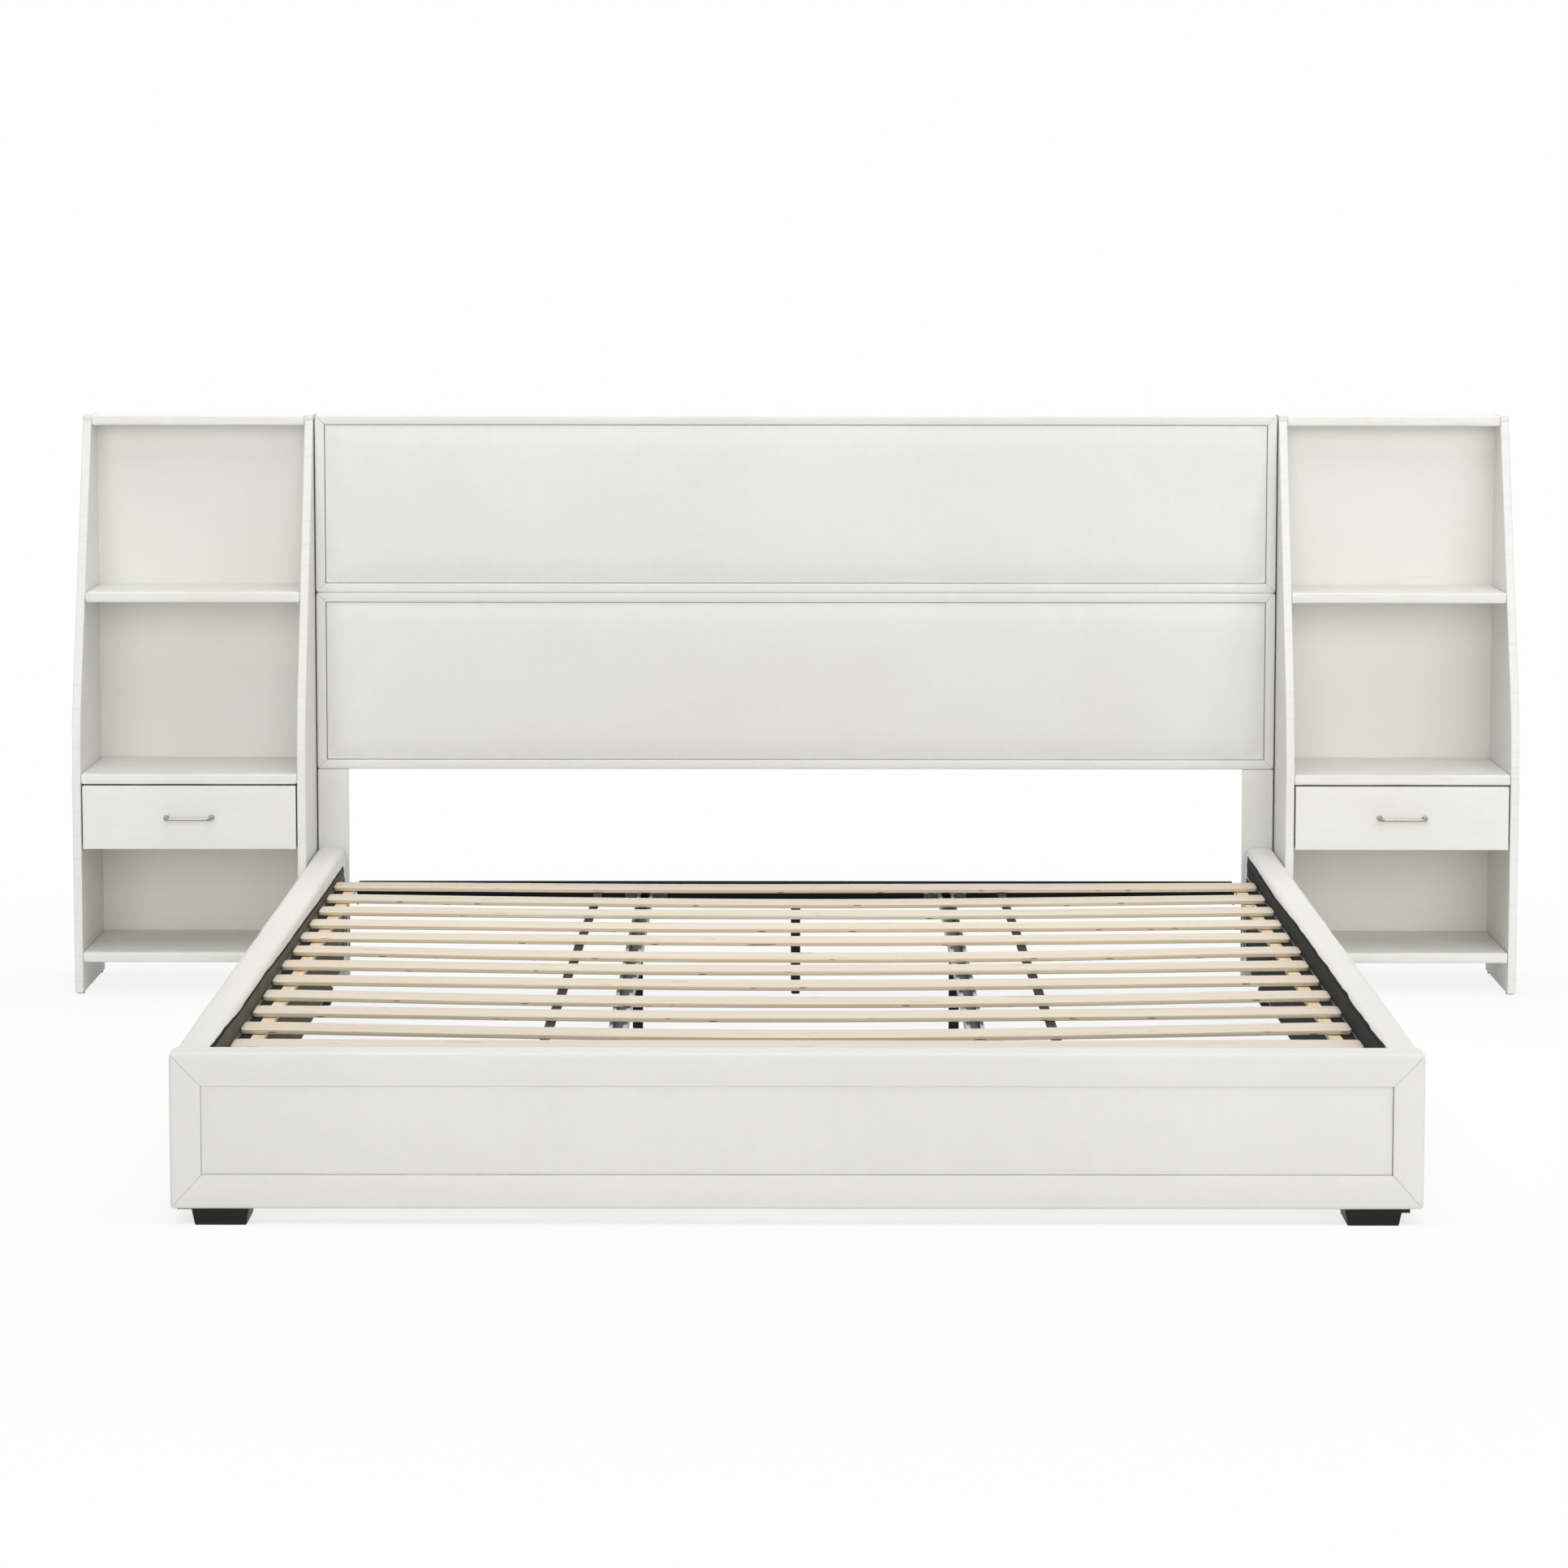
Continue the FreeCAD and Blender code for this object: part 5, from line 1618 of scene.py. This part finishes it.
    def rail_outline(self, side: Side) -> Callable[[float], np.ndarray]:
        """Outline of a side rail's cover at each place along the rail.

        Args:
            side: Which rail.

        Returns:
            A function from the place along Y to the outline's points, X and Z.
        """
        inner, outer, hem_at = self.recess, self.half, self.high - self.hem_drop
        top = arc((inner + self.roll, self.high - self.roll), self.roll, 172.0, 90.0, 7)
        crest = [(inner + 24.0, self.high + 0.6), (inner + 32.0, self.high + 0.9),
                 (outer - 22.0, self.high + 0.5)]
        shoulder = arc((outer - 13.0, self.high - 13.0), 13.0, 90.0, 0.0, 8)
        foot = arc((outer - 7.0, self.low + 7.0), 7.0, 0.0, -90.0, 5)
        sides = [(outer + 0.3, z) for z in self.side_levels]
        outline = np.array([(inner, hem_at), (inner, hem_at + 3.0)] + top + crest + shoulder + sides + foot
                           + [(outer - 25.0, self.low), (inner + 3.0, self.low), (inner + 3.0, hem_at - 4.0),
                              (inner + 1.2, hem_at - 1.5)], float)
        normal, seed = outward(outline), side.pick(4, 9)
        hem = [0, 1, len(outline) - 2, len(outline) - 1]
        flat = (outline[:, 1] < self.low + 4.0) | (outline[:, 0] < inner + 4.0)

        def at(y: float) -> np.ndarray:
            """Points of the outline at a place along the rail."""
            push = np.full(len(outline), self.slack * swell_at(y, self.slack_length, seed))
            push[flat] *= 0.3
            push -= turned_back(y - (self.head_end - self.back_end), self.back_end)
            push -= turned_back(self.recess_front + self.front_end - y, self.front_end)
            points = outline + normal * push[:, None]
            sunk = self.sunk * math.exp(-((y - self.recess_front) / self.sunk_reach) ** 2)
            points[:, 1] -= sunk * np.interp(outline[:, 1], self.sunk_levels, (0.0, 1.0))
            points[hem, 1] += min(0.0, self.hem_shift(side, y))
            points[:, 0] *= side.value
            return points

        return at

    def hem_shift(self, side: Side, y: float) -> float:
        """How far the hem lies above its level at a place along the rail, in millimetres."""
        wave = self.hem_wave * swell_at(y, self.hem_length, side.pick(6, 11))
        return wave + float(np.interp(y, self.hem_places, side.pick(*self.hem_rise)))

    def lining_outline(self, side: Side) -> Callable[[float], np.ndarray]:
        """Outline of the lining at each place: up the rail's face and turned in over the ledger.

        Args:
            side: Which rail.

        Returns:
            A function from the place along Y to the outline's points, X and Z.
        """
        face, ledge, seed = self.recess + self.thick, self.ledger_top + 0.1, side.pick(2, 7)

        def at(y: float) -> np.ndarray:
            """Points of the outline at a place along the rail."""
            wave = self.cloth_wave * swell_at(y, self.cloth_length, seed)
            edge = self.edge_wave * swell_at(y, self.edge_length, seed + 1)
            near = math.exp(-((y - self.head_end + self.pleat_middle) / self.pleat_reach) ** 2)
            pleat = self.pleat * near * max(0.0, math.sin(y / self.pleat_step)) ** 2
            hem = self.high - self.hem_drop + self.hem_shift(side, y)
            hang = min(1.0, max(0.0, (y - self.ledger_end) / self.hang_run))
            fall = self.fall * hang
            path = [(face - 0.1, hem + 2.5), (face - 1.1, hem + 0.4), (face - 1.3, hem - 2.4),
                    (face - 1.4, hem - 3.4), (face - 1.4 - 0.3 * abs(wave), hem - 6.5),
                    (face - 1.5 - abs(wave) - pleat, min(252.0, hem - 8.5)),
                    (face - 1.4 - pleat * 0.8, min(241.0, hem - 11.0)),
                    (face - 1.8 - 0.5 * pleat, ledge + 4.0 - 0.1 * fall),
                    (face - 2.2 - 0.5 * pleat, ledge + 1.6 - 0.2 * fall),
                    (face - 3.2 - 0.3 * pleat, ledge + 0.9 - 0.3 * fall),
                    (face - 8.0 + 4.6 * hang, ledge + 0.5 - 0.45 * fall),
                    (face - 17.0 + 13.4 * hang, ledge + 0.5 + 0.25 * abs(wave) - 0.75 * fall),
                    (face - self.flange - edge * 0.6 + (self.flange - 3.4) * hang, ledge + 0.45 - fall)]
            top = self.high - self.roll
            line = np.array([(x + turned_back(z - top, self.roll), z) for x, z in path])
            run = np.gradient(line, axis=0)
            off = np.stack([run[:, 1], -run[:, 0]], axis=1)
            off /= np.linalg.norm(off, axis=1, keepdims=True)
            other = line - off * (self.thick / 2)
            points = np.concatenate([line + off * (self.thick / 2), other[::-1]])
            points[:, 0] *= side.value
            return points

        return at

    def low_lining_outline(self, side: Side) -> Callable[[float], np.ndarray]:
        """Outline of the lining below the ledger, held tight at its hems.

        Args:
            side: Which rail.

        Returns:
            A function from the place along Y to the outline's points, X and Z.
        """
        seed, face = side.pick(12, 15), self.recess + 0.8

        def at(y: float) -> np.ndarray:
            """Points of the outline at a place along the rail."""
            slack = 0.8 + 0.8 * swell_at(y, 150.0, seed)
            hem = self.low_hem + 1.2 * swell_at(y, 210.0, seed + 1)
            across = (face, face - 0.4 - slack, face - 0.6 - slack * 1.3, face - 0.5 - slack, face - 0.2)
            inner = list(zip(across, (*self.low_levels, hem)))
            outer = [(x + self.thick, z) for x, z in inner]
            points = np.array(inner + outer[::-1])
            points[:, 0] *= side.value
            return points

        return at

    def side_rails(self) -> None:
        """Makes the covers and linings of both side rails."""
        start, end = self.recess_front, self.head_end
        stations = [start + a for a in self.front_steps] + list(np.linspace(start + 20.0, end - 24.0, 96))
        stations += [end - a for a in self.back_steps]
        fine = list(np.linspace(start + 0.5, end - 240.0, 130))
        fine += list(np.linspace(end - 236.0, end - 36.0, 90))
        for side in Side:
            cover = settle(swept(side.of("side_rail_wrap"), self.rail_outline(side), stations),
                           LEATHER, Slot.UPHOLSTERY, side.of("side_rail_cover"))
            dress(CORE, side.of("side_rail_core"))
            # The left rail wears the lining copy with painted light.
            cloth = side.pick(LIT_LEFT_LINING, LINING)
            upper = settle(swept(side.of("rail_lining"), self.lining_outline(side), fine,
                                 self.lining_shading + self.lining_shading[::-1]),
                           cloth, Slot.LINING, side.of("side_rail_lining"))
            side.of("slat_ledger")
            lower = settle(swept(side.of("rail_low_lining"), self.low_lining_outline(side), fine),
                           cloth, Slot.LINING)
            side.of("side_rail_core")
            faces = side.span(self.recess - 1.7, self.recess + 1.0)
            turned = SoftBox((faces[0], end - side.pick(*self.end_wrap), self.low + 6.0),
                             (faces[1], end - 0.4, self.high - 17.0), radius=1.1, spacing=12.0, wave=0.0)
            settle(turned.build(side.of("rail_end_wrap")), LEATHER, Slot.UPHOLSTERY)

    def build(self) -> None:
        """Makes the whole base."""
        self.front_rail()
        self.side_rails()


@dataclass
class SteelSupports:
    """Cross bar, channels, legs, brackets, feet and the plates at the front feet."""

    plate_inner: float = 930.0
    plate_reach: tuple[float, float] = (1020.0, 1009.0)
    plate_front: float = -1084.0
    plate_back: float = -975.0
    plate_low: tuple[float, float] = (26.6, 21.8)
    plate_high: float = 28.5

    def build(self) -> None:
        """Dresses the steel and the feet, and adds the foot plates."""
        dress(BLACK_STEEL, "head_cross_bar", "support_legs", "rail_brackets")
        dress(BOLT_STEEL, "frame_bolts")
        dress(PLASTIC, "leg_glides", "front_feet", "side_feet", "stand_glides")
        for side in Side:
            dress(CHANNEL, side.of("support_channel"))
            ends = side.span(self.plate_inner, side.pick(*self.plate_reach))
            plate = SoftBox((ends[0], self.plate_front, side.pick(*self.plate_low)),
                            (ends[1], self.plate_back, self.plate_high), radius=0.8, spacing=30.0, wave=0.0)
            settle(plate.build(side.of("foot_plate")), BLACK_STEEL, Slot.BLACK_STEEL)


@dataclass
class ShelfStands:
    """The tapered stands: wrapped shelves between the side boards, and the back panels."""

    inner: float = 1051.5
    outer: float = 1507.5
    play: float = 0.05
    back: float = 1082.0
    thick: float = 22.0
    shelves: tuple = (("top_board", 1012.7, 1196.0), ("middle_shelf", 902.2, 826.0),
                      ("drawer_shelf", 821.0, 449.0), ("bottom_shelf", 821.0, 69.0))
    boards: tuple = (("outer", 1516.5), ("inner", 1042.5))
    fold_half: float = 9.4
    fold_front: float = 1011.6
    fold_back: float = 1052.0
    fold_low: float = 1206.0
    fold_high: float = 1220.2

    def build(self) -> None:
        """Makes the wrapped shelves and dresses the boards."""
        for side in Side:
            ends = side.span(self.inner + self.play, self.outer - self.play)
            for number, (name, front, low) in enumerate(self.shelves):
                shelf = SoftBox((ends[0], front, low), (ends[1], self.back, low + self.thick), radius=4.5,
                                spacing=22.0, wave=0.5, wave_length=240.0, tuck=2.4,
                                seed=number * 2 + side.pick(1, 12))
                settle(shelf.build(side.of("wrapped_" + name)), side.pick(BOARD, RIGHT_BOARD), Slot.PAINT,
                       side.of("stand_" + name))
            dress(BOARD, side.of("stand_outer_side"), side.of("stand_inner_side"))
            dress(PANEL, side.of("stand_back"))
            self.side_folds(side)

    def side_folds(self, side: Side) -> None:
        """Adds the folded wrap at the top ends of the side boards.

        Args:
            side: Which stand.
        """
        for name, middle in self.boards:
            ends = side.span(middle - self.fold_half, middle + self.fold_half)
            fold = SoftBox((ends[0], self.fold_front, self.fold_low),
                           (ends[1], self.fold_back, self.fold_high), radius=3.2, spacing=4.0, wave=0.0,
                           tuck=2.2, tuck_reach=40.0, tuck_front=False, seed=31 + int(middle) % 7)
            settle(fold.build(side.of("fold_" + name)), BOARD, Slot.PAINT)


@dataclass
class Drawers:
    """Drawer fronts with black strips of painted shade behind their gaps, boxes, runners and wire pulls."""

    inner: float = 1051.5
    outer: float = 1507.5
    gap: float = 3.2
    low: float = 311.3
    high: float = 445.8
    front: float = 820.0
    back: float = 838.0
    # Sizes of the black strips of painted shade behind the gaps round each front.
    shade_strip_width: float = 14.0
    shade_strip_clear: float = 0.5
    shade_strip_gap: float = 0.2
    shade_strip_thick: float = 2.2
    shade_strip_short: float = 2.0
    shade_strip_drop: float = 0.6
    shade_strip_top: float = 430.0

    def face(self, side: Side) -> bpy.types.Object:
        """The wrapped board of one drawer's front.

        Args:
            side: Which drawer.

        Returns:
            The object.
        """
        ends = side.span(self.inner + self.gap, self.outer - self.gap)
        board = SoftBox((ends[0], self.front, self.low), (ends[1], self.back, self.high), radius=1.6,
                        spacing=24.0, wave=0.0)
        return board.build(side.of("drawer_face"))

    def gap_shade_strip(self, side: Side) -> bpy.types.Object:
        """The black strip behind three edges of one drawer's front: painted shade that makes the gaps round
        it look dark.

        Args:
            side: Which drawer.

        Returns:
            The object.
        """
        inner, outer, low = self.inner + self.shade_strip_width, self.outer - self.shade_strip_width, self.low + self.shade_strip_short
        near, top = self.back + self.shade_strip_gap, self.high + self.gap - self.shade_strip_drop
        shell = Shell()
        for start, end, under in ((self.inner + self.shade_strip_clear, inner, low),
                                  (outer, self.outer - self.shade_strip_clear, low), (inner, outer, self.shade_strip_top)):
            at = [shell.add((x * side.value, y, z)) for x in (start, end)
                  for y in (near, near + self.shade_strip_thick) for z in (under, top)]
            for quad in ((0, 1, 3, 2), (4, 6, 7, 5), (0, 4, 5, 1), (2, 3, 7, 6), (0, 2, 6, 4), (1, 5, 7, 3)):
                shell.faces.append(tuple(at[k] for k in quad))
        return shell.object(side.of("drawer_gap_shade"), 30.0)

    def build(self) -> None:
        """Makes both fronts and their strips of painted shade, and dresses the rest of the drawers."""
        for side in Side:
            body = side.of("drawer")
            settle(self.face(side), DRAWER_BOARD, Slot.PAINT, side.of("drawer_front"), body=body)
            # A black strip of painted shade behind the gaps round the front.
            settle(self.gap_shade_strip(side), PLASTIC, Slot.PLASTIC, body=body)
            dress(NICKEL, side.of("drawer_handle"))
            dress(ZINC, side.of("drawer_runners"), side.of("drawer_slides"))
            dress(DRAWER_PLY, side.of("drawer_box"), side.of("drawer_bottom"))


@dataclass
class Hardware:
    """Screws of the back plates and nails of the back panels."""

    strap: float = 1000.0
    strap_heights: tuple[float, ...] = (180.0, 300.0, 500.0, 620.0, 780.0, 890.0, 1000.0, 1110.0)
    link_places: tuple[float, float] = (1018.0, 1062.0)
    link_heights: tuple[float, float] = (486.0, 1016.0)
    panel_edges: tuple[float, float] = (1058.0, 1501.0)
    panel_ends: tuple[float, float] = (90.0, 1205.0)
    board_ends: tuple[float, float] = (1130.0, 1430.0)
    board_heights: tuple[float, ...] = (76.0, 460.0, 837.0, 1208.0)

    def build(self) -> None:
        """Sets out the fasteners on the back."""
        screws = Fasteners("plate_screws", 1092.6, 4.2, 1.6)
        nails = Fasteners("panel_nails", 1090.3, 2.2, 0.8)
        for side in Side:
            for height in self.strap_heights:
                screws.add(side, self.strap, height)
            for height in self.link_heights:
                for across in self.link_places:
                    screws.add(side, across, height)
            for height in np.linspace(*self.panel_ends, 9):
                for across in self.panel_edges:
                    nails.add(side, across, height)
            for across in np.linspace(*self.board_ends, 4):
                for height in self.board_heights:
                    nails.add(side, across, height)
        for heads in (screws, nails):
            settle(heads.build(ZINC), ZINC, Slot.ZINC)


# Studio

@dataclass
class Studio:
    """Floor, world, lights and the camera of the photograph."""

    sensor: float = 36.0
    image: float = 1932.0
    focal: float = 4957.13
    middle_x: float = 973.98
    middle_y: float = 657.69
    eye: Place = (-0.0120, -7.5847, 1.6966)
    pitch: float = 0.085
    roll: float = -0.0008
    far: float = 100.0
    surround: float = 0.32
    floor_size: float = 60.0
    floor_share: float = 0.84
    floor_white: Colour = (0.93, 0.93, 0.93, 1.0)
    lamps: tuple = (("key", (3.6, -2.3, 2.2), (0.0, 0.9, 0.6), (1.3, 1.3), 19.5),
                    ("overhead", (0.0, -0.2, 4.2), (0.0, 0.0, 0.0), (4.5, 3.2), 60.0),
                    ("behind", (0.0, 2.2, 4.4), (0.0, 0.2, 0.3), (4.5, 1.5), 68.0))
    washes: tuple = (("ceiling", 72.0, 60.0, 0.42), ("wall", 8.0, 50.0, 1.52))

    def camera(self) -> None:
        """Sets the camera at the photograph's viewing angle."""
        data = bpy.data.cameras.new("camera")
        data.sensor_width = self.sensor
        data.lens = self.focal * self.sensor / self.image
        data.shift_x = (self.image / 2 - self.middle_x) / self.image
        data.shift_y = (self.middle_y - self.image / 2) / self.image
        data.clip_end = self.far
        eye = placed("camera", data)
        eye.location = self.eye
        eye.rotation_euler = (math.pi / 2 - self.pitch, self.roll, 0.0)
        bpy.context.scene.camera = eye

    def lamp(self, name: str, place: Place, aim: Place, size: tuple[float, float], power: float) -> None:
        """Adds a soft rectangular lamp.

        Args:
            name: The lamp's name.
            place: Where it hangs, in metres.
            aim: Where it points.
            size: Its width and height in metres.
            power: Its power in watts.
        """
        data = bpy.data.lights.new(name, "AREA")
        data.shape = "RECTANGLE"
        data.size, data.size_y = size
        data.energy = power
        lamp = placed(name, data)
        lamp.location = place
        lamp.rotation_euler = (Vector(aim) - Vector(place)).to_track_quat("-Z", "Y").to_euler()

    def wash(self, name: str, height: float, spread: float, power: float) -> None:
        """Adds an even light from a wide bright wall beyond the camera.

        Args:
            name: The lamp's name.
            height: Angle of the wall's middle above the horizon, in degrees.
            spread: How wide the wall looks from the bed, in degrees.
            power: Strength of its light.
        """
        data = bpy.data.lights.new(name, "SUN")
        data.energy = power
        data.angle = math.radians(spread)
        placed(name, data).rotation_euler = (math.radians(90.0 - height), 0.0, 0.0)

    @staticmethod
    def clear_sight(tree: Tree) -> Value:
        """1 for the rays that see the background itself, straight or by way of metal and glass.

        Args:
            tree: The tree that gets the nodes.

        Returns:
            The value, 0 for the other rays.
        """
        path = tree.node("ShaderNodeLightPath")
        camera, glossy, through = (Value(tree, path.outputs[name]) for name in (
            "Is Camera Ray", "Is Glossy Ray", "Is Transmission Ray"))
        return tree.math("MAXIMUM", tree.math("MAXIMUM", camera, glossy), through)

    def world(self) -> None:
        """A plain pale surround that the camera sees as white."""
        world = bpy.data.worlds.new("studio")
        bpy.context.scene.world = world
        tree = Tree.of(world)
        level = self.clear_sight(tree) * (1.0 - self.surround) + self.surround
        light = tree.node("ShaderNodeBackground", None, {"Color": WHITE, "Strength": level})
        tree.node("ShaderNodeOutputWorld", None, {"Surface": light.outputs[0]})

    def floor(self) -> None:
        """A white floor that keeps the bed's shadow and fades to plain white away from it."""
        bpy.ops.mesh.primitive_plane_add(size=self.floor_size, location=(0.0, 0.0, 0.0))
        floor = bpy.context.object
        floor.name = "floor"
        material = bpy.data.materials.new("white_floor")
        tree = Tree.of(material)
        x, y, _ = tree.apart(tree.spot())
        away = ((x * 0.75) ** 2.0 + y ** 2.0).one("SQRT").ramp(1.35, 2.6)
        # Painted light and shade on the floor: it glows more in front of the bed and less in a band under the
        # front rail, so that its shadow shows darker there.
        ahead = 1.0 - y.ramp(-1.079, -1.071)
        shade_band = (1.0 - ahead) * (1.0 - y.ramp(-1.06, -0.8)) * (1.0 - x.one("ABSOLUTE").ramp(0.99, 1.04))
        near = ahead * 0.08 - shade_band * 0.1 + self.floor_share
        own = self.clear_sight(tree) * (away * (1.0 - near) + near)
        matt = tree.node("ShaderNodeBsdfDiffuse", None, {"Color": self.floor_white})
        white = tree.node("ShaderNodeEmission", None, {"Color": WHITE, "Strength": 1.0})
        both = tree.node("ShaderNodeMixShader", None, {0: own, 1: matt.outputs[0], 2: white.outputs[0]})
        tree.node("ShaderNodeOutputMaterial", None, {"Surface": both.outputs[0]})
        floor.data.materials.append(material)

    def build(self) -> None:
        """Sets up the whole studio."""
        bpy.context.scene.view_settings.view_transform = "Standard"
        self.camera()
        self.world()
        self.floor()
        for lamp in self.lamps:
            self.lamp(*lamp)
        for wash in self.washes:
            self.wash(*wash)


def main() -> None:
    """Builds the bed's looks in order and reports each piece."""
    logging.basicConfig(level=logging.INFO, format="%(name)s: %(message)s")
    noise.seed_set(NOISE_SEED)
    for group in (Studio, HeadboardUpholstery, BaseUpholstery, SlatDeck, SteelSupports, ShelfStands, Drawers,
                  Hardware):
        group().build()


if __name__ == "__main__":
    main()
